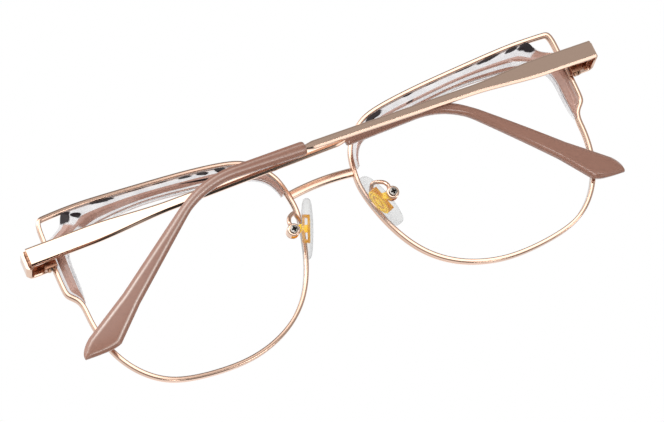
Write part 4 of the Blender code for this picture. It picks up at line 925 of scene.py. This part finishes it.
FLASHED_STEEL = screw_steel("turned_screw_steel_gold_flashed", "#C39B7F")
HINGE_PLACE = np.array([
    FRONT_HALF_WIDTH - HINGE_INSET, END_REAR_Y + HINGE_BEHIND_BUTT - ORIGIN_BACK,
    TEMPLE_LEVEL + EYE_BELOW_BRIDGE])
LOCK_PLACE = np.array([
    RIMS_APART / 2 + EYE_WIDTH - WIRE_WIDTH + SEAT + LOCK_WIDTH / 2,
    bow(RIMS_APART / 2 + EYE_WIDTH - WIRE_WIDTH / 2, END_FRONT_LEVEL) + WIRE_DEPTH / 2 + 2 * SEAT
    + LOCK_DEPTH / 2 - ORIGIN_BACK,
    END_FRONT_LEVEL + EYE_BELOW_BRIDGE])
LEAF_FACE = HINGE_INSET - STRIP_THICKNESS - SEAT
LEAF_TALL = 1.5 * KNUCKLE_HEIGHT + KNUCKLE_GAP
KNUCKLE_STEP = KNUCKLE_HEIGHT + KNUCKLE_GAP
KNUCKLE_SOFT = 0.08
NECK_OVERLAP = 0.2
TEMPLE_LEAF_FROM = 0.95


def knuckle(level):
    """A round barrel on the hinge axis, a knuckle tall, about a level."""
    half = KNUCKLE_HEIGHT / 2
    return raised(circle(KNUCKLE_RADIUS), level - half, level + half, KNUCKLE_SOFT)


def leaf(near, far, necks):
    """A hinge leaf between two distances from the axis, and its necks and knuckles."""
    inner = LEAF_FACE - LEAF_THICKNESS
    parts = [block((inner, min(near, far), -LEAF_TALL), (LEAF_FACE, max(near, far), LEAF_TALL))]
    for level in necks:
        low, high = level - KNUCKLE_HEIGHT / 2, level + KNUCKLE_HEIGHT / 2
        reach = near + math.copysign(NECK_OVERLAP, near)
        parts += [block((inner, min(0.0, reach), low), (LEAF_FACE, max(0.0, reach), high),
                        KNUCKLE_SOFT),
                  knuckle(level)]
    return parts


FRONT_LEAF = leaf(-KNUCKLE_RELIEF, -KNUCKLE_RELIEF - FRONT_LEAF_LENGTH,
                  (-KNUCKLE_STEP, KNUCKLE_STEP))
TEMPLE_LEAF = leaf(TEMPLE_LEAF_FROM, TEMPLE_LEAF_FROM + TEMPLE_LEAF_LENGTH, (0.0,))
LOCK_HALF = np.array([LOCK_WIDTH / 2, LOCK_DEPTH / 2])
LOCK_REACH = 2 * LOCK_HEIGHT + LOCK_GAP - LOCK_BLIND_WALL
HINGE_TOP = np.array([0.0, 0.0, LEAF_TALL + SEAT])
LOCK_UNDER = np.array([0.0, 0.0, -LOCK_GAP / 2 - LOCK_HEIGHT - SEAT])
LOCK_LEVELS = {"lower": (-LOCK_GAP / 2 - LOCK_HEIGHT, -LOCK_GAP / 2),
               "upper": (LOCK_GAP / 2, LOCK_GAP / 2 + LOCK_HEIGHT)}
for word in SIDES:
    for half, (low, high) in LOCK_LEVELS.items():
        shape = block((*-LOCK_HALF, low), (*LOCK_HALF, high)) + LOCK_PLACE
        dress(f"{word}_rim_lock_{half}", "block", shape, RECESS_SHADED_PLATE)
    make_screw(f"{word}_rim_screw", LOCK_SCREW, LOCK_REACH - 2 * SEAT, False,
               lambda shape: shape * (1.0, -1.0, -1.0), LOCK_UNDER + LOCK_PLACE, FLASHED_STEEL)
    dress(f"{word}_front_hinge", "leaf", [part + HINGE_PLACE for part in FRONT_LEAF], RECESS_SHADED_PLATE)
    dress(f"{word}_temple_hinge", "leaf", [folded(part, word) for part in TEMPLE_LEAF], RECESS_SHADED_PLATE)
    make_screw(f"{word}_hinge_screw", HINGE_SCREW, 2 * HINGE_TOP[2], False, np.array,
               HINGE_TOP + HINGE_PLACE, FLASHED_STEEL)


# Temples: flat strip of the same metal with bevelled outer edges. It narrows towards the tip and
# runs on inside it as a round core wire, which the tip hides.
TEMPLE_TO_BEND = 102.9
METAL_TO_SLEEVE = 77.0
WIDE_STRIP_LENGTH = 14.0
STRIP_TAPER_LENGTH = 20.0
NARROW_STRIP_HEIGHT = 2.3
METAL_END_HEIGHT = 1.9
SHOULDER_LENGTH = 2.0
CORE_RADIUS = 0.55
TIP_DROP = 46.1
BEND_LENGTH = 17.0
TIP_INWARD = 8.0
TIP_INWARD_POWER = 1.75
DIRECTION_STEP = 0.1
TIP_ANGLES = {"left": math.radians(41.5), "right": math.radians(37.5)}


def temple_frames(along, word):
    """At each distance along the temple the place on its outer face, the way out of that face and
    the way up across the strip. Past the bend it drops by the sine of the tip's angle and curves
    in by a power of the share of the way to its end."""
    angle = TIP_ANGLES[word]

    def path(at):
        past = (at - TEMPLE_TO_BEND) / BEND_LENGTH
        bent = np.where(past < -0.5, 0.0, np.where(past > 0.5, past, (past + 0.5) ** 2 / 2))
        run = at - bent * BEND_LENGTH * (1 - math.cos(angle))
        drop = bent * BEND_LENGTH * math.sin(angle)
        curl = (at - TEMPLE_TO_BEND + BEND_LENGTH / 2) / (TIP_DROP + BEND_LENGTH / 2)
        out = HINGE_INSET - TIP_INWARD * np.clip(curl, 0, 1) ** TIP_INWARD_POWER
        return np.stack([out, run - HINGE_BEHIND_BUTT + BUTT_GAP, -drop], axis=-1)

    at = np.array(along, float)
    ahead = path(at + DIRECTION_STEP) - path(at - DIRECTION_STEP)
    ahead /= np.linalg.norm(ahead, axis=1)[:, None]
    out = np.array([1.0, 0.0, 0.0]) - ahead * ahead[:, :1]
    out /= np.linalg.norm(out, axis=1)[:, None]
    return path(at), out, np.cross(out, ahead)


def strip_height(along):
    """The strip's height: wide at the hinge, an S-shaped taper, then narrow with a shoulder."""
    taper_end = WIDE_STRIP_LENGTH + STRIP_TAPER_LENGTH
    share = np.clip((along - WIDE_STRIP_LENGTH) / STRIP_TAPER_LENGTH, 0.0, 1.0)
    wide = STRIP_HEIGHT + (NARROW_STRIP_HEIGHT - STRIP_HEIGHT) * share**2 * (3 - 2 * share)
    marks = (taper_end, METAL_TO_SLEEVE - SHOULDER_LENGTH, METAL_TO_SLEEVE)
    narrow = np.interp(along, marks, (NARROW_STRIP_HEIGHT, METAL_END_HEIGHT, 2 * CORE_RADIUS))
    return np.where(along < taper_end, wide, narrow)


def temple_surface(word):
    """The strip's section carried along the temple as its height narrows."""
    taper_end = WIDE_STRIP_LENGTH + STRIP_TAPER_LENGTH
    along = np.concatenate([np.linspace(0.0, 1.3, 9), np.linspace(2.0, WIDE_STRIP_LENGTH, 14),
                            np.linspace(WIDE_STRIP_LENGTH + 0.5, taper_end, 60),
                            np.linspace(taper_end + 1.0, METAL_TO_SLEEVE - SHOULDER_LENGTH, 50),
                            np.linspace(METAL_TO_SLEEVE - 1.5, METAL_TO_SLEEVE - SEAT, 4)])
    place, out, up = temple_frames(along, word)
    section = strip_section(strip_height(along), along - HINGE_BEHIND_BUTT + BUTT_GAP)
    return place[:, None] + out[:, None] * section[..., :1] + up[:, None] * section[..., 1:]


for word in SIDES:
    strip = folded(temple_surface(word), word)
    dress(f"{word}_temple", "strip", strip, STAMPED_PLATE, STRIP_SHARP)


# Temple tips: moulded plastic sleeves in dusty pink, pushed over the core wire. They start with a
# rounded lip, narrow at the bend and widen to a bevelled paddle with a slanting end.
SLEEVE_HEIGHT = 3.2
SLEEVE_THICKNESS = 2.1
NECK_HEIGHT = 2.3
NECK_TO = 109.0
PADDLE_FROM = 133.0
PADDLE_START_HEIGHT = 4.3
PADDLE_HEIGHT = 6.9
PADDLE_THICKNESS = 2.4
TIP_LIP = 0.25
TIP_BEVEL = 0.9
TIP_BEVEL_DEPTH = 0.7
TIP_ROUND = 4.2
TIP_ROUND_DOWN = 1.9
TIP_SLANT_LENGTH = 6.8
TIP_END = TEMPLE_TO_BEND + TIP_DROP
TIP_SHARP = 50.0
TIP_COLOURS = ("#946A5A", "#9D7464")
# The right tip, which lies outermost, has a painted highlight, a paler colour along the edges of
# its
# face: shares across the bevel's arc, and shares at rows along the tip
PAINTED_HIGHLIGHT_SIDE = "right"
PAINTED_HIGHLIGHT_COLOUR = "#E8D6CC"
PAINTED_HIGHLIGHT = (0.0, 0.35, 0.95, 0.35, 0.0)
PAINTED_HIGHLIGHT_ROWS = (0, 30, 60, 112, 126, 143)
PAINTED_HIGHLIGHT_SHARES = (0.3, 0.35, 0.75, 1.0, 0.35, 0.1)


def tip_edges(along):
    """How far the tip reaches above and below the core wire. Its end is rounded above and cut
    at a slant below."""
    height = np.interp(along, (METAL_TO_SLEEVE, NECK_TO, PADDLE_FROM, TIP_END - TIP_ROUND),
                       (SLEEVE_HEIGHT, NECK_HEIGHT, PADDLE_START_HEIGHT, PADDLE_HEIGHT))
    past = np.clip((along - TIP_END + TIP_ROUND) / TIP_ROUND, 0.0, 1.0)
    cut = np.clip((along - TIP_END + TIP_SLANT_LENGTH) / TIP_SLANT_LENGTH, 0.0, 1.0)
    above = height / 2 - TIP_ROUND_DOWN * (1 - np.sqrt(1 - past**2))
    below = -height / 2 + (height - TIP_ROUND_DOWN) * cut**1.2
    return above, below


def tip_surface(word):
    """The section, a flat face with a rounded bevel along each edge, carried along the temple.
    It closes at the lip by a quarter circle and gets thinner where the end closes."""
    lip = np.radians(np.linspace(0.0, 90.0, 8))
    along = np.concatenate([
        METAL_TO_SLEEVE + SLEEVE_THICKNESS / 2 * (1 - np.cos(lip)),
        np.linspace(METAL_TO_SLEEVE + SLEEVE_THICKNESS, TIP_END - TIP_SLANT_LENGTH, 110),
        TIP_END - TIP_SLANT_LENGTH * (1 - np.sin(np.radians(np.linspace(4.0, 84.0, 26)))),
    ])
    shrink = np.concatenate([1 - TIP_LIP * (1 - np.sin(lip)), np.ones(len(along) - len(lip))])
    above, below = tip_edges(along)
    middle, height = (above + below) / 2, (above - below) * shrink
    thick = np.interp(along, (METAL_TO_SLEEVE, TIP_END - TIP_ROUND),
                      (SLEEVE_THICKNESS, PADDLE_THICKNESS))
    thick *= shrink * np.minimum(1.0, (height / NECK_HEIGHT) ** 0.5)
    half, cut = height / 2, np.minimum(TIP_BEVEL, 0.3 * height)
    deep = TIP_BEVEL_DEPTH * thick / PADDLE_THICKNESS
    small = 0.5 * deep
    corners = ((0 * half, half - cut, 0.45), (-deep, half, 0.18), (small - thick, half, 0.2),
               (-thick, half - small, 0.2), (-thick, small - half, 0.2),
               (small - thick, -half, 0.2), (-deep, -half, 0.18), (0 * half, cut - half, 0.45))
    section = sections(corners, 4)
    place, out, up = temple_frames(along, word)
    centre = place + out * ((thick - STRIP_THICKNESS) / 2)[:, None] + up * middle[:, None]
    return centre[:, None] + out[:, None] * section[..., :1] + up[:, None] * section[..., 1:]


def tip_plastic():
    """Injection-moulded plastic with a soft gloss: one colour, slight clouds of 17 mm and a fine
    grain of 0.2 mm. Where marked it is painted paler, a painted highlight along its edges."""
    material, tree, place = new_material("moulded_dusty_pink_plastic")
    cloud = add(tree, "ShaderNodeTexNoise", {"Vector": place, "Scale": 60.0, "Detail": 2.0})
    deep, pale = map(linear, TIP_COLOURS)
    colour = add(tree, "ShaderNodeMix", {0: cloud, 6: deep, 7: pale}, 2, data_type="RGBA")
    # The paler colour along the marked edges is a painted highlight.
    painted_highlight = add(tree, "ShaderNodeAttribute", give="Fac", attribute_name="painted_highlight")
    shade = add(tree, "ShaderNodeMix", {0: painted_highlight, 6: colour, 7: linear(PAINTED_HIGHLIGHT_COLOUR)}, 2,
                data_type="RGBA")
    grain = add(tree, "ShaderNodeTexNoise", {"Vector": place, "Scale": 5200.0, "Detail": 2.0})
    bump = add(tree, "ShaderNodeBump", {"Height": grain, "Strength": 0.02, "Distance": BUMP_DEPTH})
    return finished(material, add(tree, "ShaderNodeBsdfPrincipled", {
        "Base Color": shade, "Roughness": 0.24, "IOR": 1.4, "Coat Weight": 0.35,
        "Coat Roughness": 0.06, "Normal": bump}))


def painted_highlight_marks(rows):
    """How much painted highlight each point takes: both edges of the outer face, which are the
    first and last arcs of each section, and most of all along the paddle."""
    section = np.zeros((8, len(PAINTED_HIGHLIGHT)))
    section[0] = section[-1] = PAINTED_HIGHLIGHT
    share = np.interp(np.arange(rows), PAINTED_HIGHLIGHT_ROWS, PAINTED_HIGHLIGHT_SHARES)
    return share[:, None] * section.ravel()


TIP_PLASTIC = tip_plastic()
for word in SIDES:
    points = folded(tip_surface(word), word)
    tip = dress(f"{word}_temple_tip", "moulded", points, TIP_PLASTIC, TIP_SHARP)
    # Only the right tip gets the painted highlight along its edges.
    if word == PAINTED_HIGHLIGHT_SIDE:
        store(tip, "painted_highlight", painted_highlight_marks(len(points)))


# Pad arms: round wire of the same metal, soldered to the back of the rim and curled over to the
# top of a round box. The box's cross-headed screw is bare steel.
PAD_ARM_RADIUS = 0.5
PAD_ARM_LEVEL = -9.0
PAD_FORWARD = 6.1
PAD_PIVOT_X = 12.6
PAD_PIVOT_Z = -10.6
BOX_RADIUS = 1.5
BOX_DEPTH = 2.8
BOX_WALL = 0.55
PAD_SCREW = (0.5, 0.95, 0.5)
PIVOT = np.array([PAD_PIVOT_X, PAD_FORWARD - ORIGIN_BACK, PAD_PIVOT_Z + EYE_BELOW_BRIDGE])
RING_POINTS = 64
# The arm's bends, from its foot on the rim and from its end on the box
ARM_FOOT_BENDS = ((0.0, 0.0, 0.0), (0.1, 0.6, 0.15), (0.4, 1.3, 1.1), (0.9, 2.0, 2.2),
                  (1.35, 2.8, 2.75))
ARM_TOP_BENDS = ((-1.1, -0.9, 2.25), (-0.35, -0.3, 1.5), (0.0, 0.0, 0.6), (0.0, 0.0, 0.0))
# The box's wall from its middle round its rim to its back: radius and level
BOX_PROFILE = ((0.3, 0.42), (1.05, 0.42), (1.12, 0.55), (1.30, 0.55), (1.44, 0.49), (1.50, 0.38),
               (1.50, 0.05), (1.45, 0.0), (0.3, 0.0))
JOINING_ARC = (-50.7, 125.2)
JOINING_CORNERS = ((-0.8, -1.225), (0.95, -1.225), (0.95, 1.1))


def arm_surface():
    """A circle carried along a smooth curve through the arm's bends. The circle's two ways are
    the curve's cross products with the way across the face."""
    edge = float(nose_edge(PAD_ARM_LEVEL))
    foot = np.array([edge + WIRE_WIDTH / 2, bow(edge, PAD_ARM_LEVEL) + WIRE_DEPTH / 2 + 6 * SEAT,
                     PAD_ARM_LEVEL]) + (0.0, -ORIGIN_BACK, EYE_BELOW_BRIDGE)
    top = PIVOT + (0.0, 0.0, BOX_RADIUS + SEAT)
    bends = [*(foot + bend for bend in ARM_FOOT_BENDS), *(top + bend for bend in ARM_TOP_BENDS)]
    points = spaced(smooth_curve(bends), 90)
    ahead = np.gradient(points, axis=0)
    ahead /= np.linalg.norm(ahead, axis=1)[:, None]
    beside = np.cross(ahead, (1.0, 0.0, 0.0))
    beside /= np.linalg.norm(beside, axis=1)[:, None]
    over = np.cross(ahead, beside)
    ring = circle(PAD_ARM_RADIUS, 24)
    return points[:, None] + beside[:, None] * ring[:, :1] + over[:, None] * ring[:, 1:]


def along_y(points):
    """Turns a shape that was raised along z to lie along y, with its top to the back."""
    return np.stack([points[..., 0], points[..., 2], -points[..., 1]], axis=-1)


def box_parts():
    """Two round walls with a rim round a dished middle, and the bent wall that joins them."""
    half = BOX_DEPTH / 2
    ring = circle(1.0, RING_POINTS)
    wall = np.stack([np.concatenate([ring * r, z + 0 * ring[:, :1]], axis=1)
                     for r, z in BOX_PROFILE])
    back = wall + (0.0, 0.0, half - BOX_WALL)
    turn = np.radians(np.linspace(*JOINING_ARC, 40))
    arc = np.stack([np.cos(turn), -np.sin(turn)], axis=1) * (BOX_RADIUS - 0.02)
    joining = raised(np.vstack([arc, JOINING_CORNERS]), BOX_WALL - half - 0.1,
                     half - BOX_WALL + 0.1, 0.01)
    return [along_y(part) + PIVOT for part in (back, back * (1.0, 1.0, -1.0), joining)]


BOX_PARTS = box_parts()
STEEL = screw_steel("turned_screw_steel", "#A9A49E")
for word in SIDES:
    dress(f"{word}_pad_arm", "wire", arm_surface(), WIRE_PLATE)
    dress(f"{word}_pad_box", "turned", BOX_PARTS, STAMPED_PLATE)
    make_screw(f"{word}_pad_screw", PAD_SCREW, BOX_DEPTH, True, along_y,
               PIVOT + (0.0, BOX_DEPTH / 2 + SEAT, 0.0), STEEL)


# Nose pads: clear silicone moulded round a gold-coloured core. The core is an oval dish with a
# bar behind it and a stem, whose round eye turns on the screw in the box.
PAD_LENGTH = 14.0
PAD_WIDTH = 7.6
PAD_NOSE_HALF = 1.55
PAD_ARM_HALF = 1.3
# Powers that make the pad's ends blunt and square off its thickness on the nose's and arm's side
PAD_BLUNT = 0.72
PAD_NOSE_POWER = 0.65
PAD_ARM_POWER = 0.85
PAD_SHARP = 80.0
PAD_FROM_PIVOT = 3.15
PAD_BEFORE_PIVOT = 0.2
PAD_BELOW_PIVOT = 0.55
PAD_TOE_IN = 10.0
PAD_SPLAY = 23.4
PAD_RAKE = -12.3
PLATE_HALF = (2.0, 3.3)
PLATE_INSET = 0.55
BAR_HALF_LENGTH = 3.2
BAR_HALF_WIDTH = 0.95
BAR_OUT = (0.4, 1.0)
BAR_END = 0.7
# The dish's section on the nose's side and then behind: share of its half size, height and its
# painted light, painted shade in the grooves and painted highlight on the raised rings
DISH_PROFILE = (
    (0.02, -0.18, 1.0), (0.10, -0.24, 1.0), (0.22, -0.30, 0.8), (0.34, -0.22, 0.5),
    (0.42, -0.10, 0.1), (0.56, -0.10, 0.2), (0.62, -0.24, 0.9), (0.72, -0.30, 1.0),
    (0.78, -0.20, 0.2), (0.82, -0.20, 0.2), (0.88, -0.30, 0.9), (0.95, -0.28, 0.7),
    (1.0, -0.18, 0.1), (1.0, 0.20, 0.1), (0.93, 0.30, 0.3), (0.02, 0.30, 0.4),
)
# How bright the bar, its neck, both its ends, the stem and the eye are painted: painted light
BAR_PAINTED_LIGHT = (0.15, 0.75, 0.1, 0.1, 0.85, 0.5)
CORE_SOFT = 0.1
# The core's emission: a painted glow, standing in for light that passes through it
GOLD_PAINTED_GLOW = 0.3
GOLD_COLOURS = ("#C07405", "#FFD21C")
SILICONE_COLOURS = ("#E7E7E6", "#BFBFC0")
STEM_HALF_HEIGHT = 0.80
STEM_HALF_THICKNESS = 0.70
EYE_RADIUS = 0.85
EYE_HALF_THICKNESS = 0.75


def in_pad(points):
    """Places in the pad's own frame, x out through its back, y deep and z along it, as places in
    the glasses' frame: the pad is splayed, toed in and raked about its middle."""
    splay = Matrix.Rotation(math.radians(-PAD_SPLAY), 3, "Y")
    rake = Matrix.Rotation(math.radians(PAD_RAKE), 3, "X")
    toe = Matrix.Rotation(math.radians(-PAD_TOE_IN), 3, "Z")
    turn = np.array(splay @ toe @ rake)
    return points @ turn.T + PIVOT - (PAD_FROM_PIVOT, PAD_BEFORE_PIVOT, PAD_BELOW_PIVOT)


def pad_surface():
    """An ellipsoid with blunt ends, fuller on the nose's side, where its thickness is squared off
    by a power. It is made of rings along its length."""
    up = np.linspace(-math.pi / 2 + 0.02, math.pi / 2 - 0.02, 48)[:, None]
    turn = np.linspace(0.0, 2 * math.pi, 56, endpoint=False)[None, :]
    blunt = np.cos(up) ** PAD_BLUNT
    x = blunt * np.cos(turn)
    flat = np.where(x < 0, -PAD_NOSE_HALF * np.abs(x) ** PAD_NOSE_POWER,
                    PAD_ARM_HALF * np.abs(x) ** PAD_ARM_POWER)
    return in_pad(np.stack([flat, blunt * np.sin(turn) * PAD_WIDTH / 2,
                            np.sin(up) * PAD_LENGTH / 2 + 0 * turn], axis=-1))


def core_parts():
    """The oval dish with its raised rings, the bar behind it with both ends and a neck bent to
    the dish, the stem and the eye."""
    ring = circle(1.0, RING_POINTS)[:, ::-1]
    dish = np.stack([np.concatenate([z - PLATE_INSET + 0 * ring[:, :1], ring * r * PLATE_HALF],
                                    axis=1) for r, z, _ in DISH_PROFILE])
    near, far = BAR_OUT
    face = DISH_PROFILE[-1][1] - PLATE_INSET - SEAT
    wide, tall = BAR_HALF_WIDTH, BAR_HALF_LENGTH
    spans = ((near, -tall, tall), (face, -EYE_RADIUS, EYE_RADIUS), (face, tall - BAR_END, tall),
             (face, -tall, BAR_END - tall))
    blocks = [block((start, -wide, low), (far, wide, high), CORE_SOFT)
              for start, low, high in spans]
    thin, low = STEM_HALF_THICKNESS, STEM_HALF_HEIGHT
    stem = block((near - PAD_FROM_PIVOT, -thin, -low), (0.0, thin, low), CORE_SOFT)
    eye = along_y(raised(circle(EYE_RADIUS), -EYE_HALF_THICKNESS, EYE_HALF_THICKNESS, CORE_SOFT))
    return [in_pad(part) for part in (dish, *blocks)] + [stem + PIVOT, eye + PIVOT]


def silicone():
    """Clear silicone: lightly tinted, greyer towards its edges, with a soft skin that is hazy in
    patches of 3 mm."""
    material, tree, place = new_material("clear_silicone_moulded")
    haze = add(tree, "ShaderNodeTexNoise", {"Vector": place, "Scale": 300.0, "Detail": 2.0})
    rough = add(tree, "ShaderNodeMapRange", {"Value": haze, "To Min": 0.12, "To Max": 0.22})
    skin = add(tree, "ShaderNodeBsdfPrincipled", {
        "Base Color": linear("#F2F2F3"), "IOR": 1.41, "Roughness": rough})
    edge = add(tree, "ShaderNodeLayerWeight", {"Blend": 0.3}, "Facing")
    middle, rim = map(linear, SILICONE_COLOURS)
    tint = add(tree, "ShaderNodeMix", {0: edge, 6: middle, 7: rim}, 2, data_type="RGBA")
    inside = add(tree, "ShaderNodeBsdfTransparent", {"Color": tint})
    share = add(tree, "ShaderNodeMapRange", {"Value": edge, "To Min": 0.05, "To Max": 0.35})
    mixed = add(tree, "ShaderNodeMixShader", {0: share, 1: inside, 2: skin})
    return finished(material, seen_through(tree, mixed))


def gold_plastic():
    """The core's gold-coloured plastic, glossy: deep amber low down as painted shade and bright
    yellow on the raised faces as painted highlight, with a slight swirl of 2 mm. It glows a
    little, a painted glow in place of the light that comes through it."""
    material, tree, place = new_material("gold_coloured_core_plastic")
    swirl = add(tree, "ShaderNodeTexNoise", {"Vector": place, "Scale": 500.0, "Detail": 2.0})
    # Painted shade and highlight: the core is darker low down and brighter on its raised faces.
    painted_light = add(tree, "ShaderNodeAttribute", give="Fac", attribute_name="painted_light")
    bright = add(tree, "ShaderNodeMath", {0: swirl, 1: 0.3, 2: painted_light}, operation="MULTIPLY_ADD",
                 use_clamp=True)
    amber, yellow = map(linear, GOLD_COLOURS)
    colour = add(tree, "ShaderNodeMix", {0: bright, 6: amber, 7: yellow}, 2, data_type="RGBA")
    return finished(material, add(tree, "ShaderNodeBsdfPrincipled", {
        "Base Color": colour, "Roughness": 0.12, "IOR": 1.5, "Emission Color": colour,
        "Emission Strength": GOLD_PAINTED_GLOW}))


def core_painted_light(parts):
    """How bright each of the core's points is painted, as painted shade and highlight: the dish by
    its profile and its two middles, and each part behind it by one value."""
    dish = [np.full(RING_POINTS, painted_light) for *_, painted_light in DISH_PROFILE]
    middles = [DISH_PROFILE[0][2], DISH_PROFILE[-1][2]]
    bars = [np.full(part.shape[0] * part.shape[1] + 2, painted_light)
            for part, painted_light in zip(parts[1:], BAR_PAINTED_LIGHT)]
    return np.concatenate([*dish, middles, *bars])


SILICONE = silicone()
GOLD_CORE = gold_plastic()
CORE_PARTS = core_parts()
for word in SIDES:
    dress(f"{word}_nose_pad", "silicone", pad_surface(), SILICONE, PAD_SHARP)
    core = dress(f"{word}_pad_core", "moulded", CORE_PARTS, GOLD_CORE)
    # The core's painted light: shade in its grooves, highlight on its raised faces.
    store(core, "painted_light", core_painted_light(CORE_PARTS))
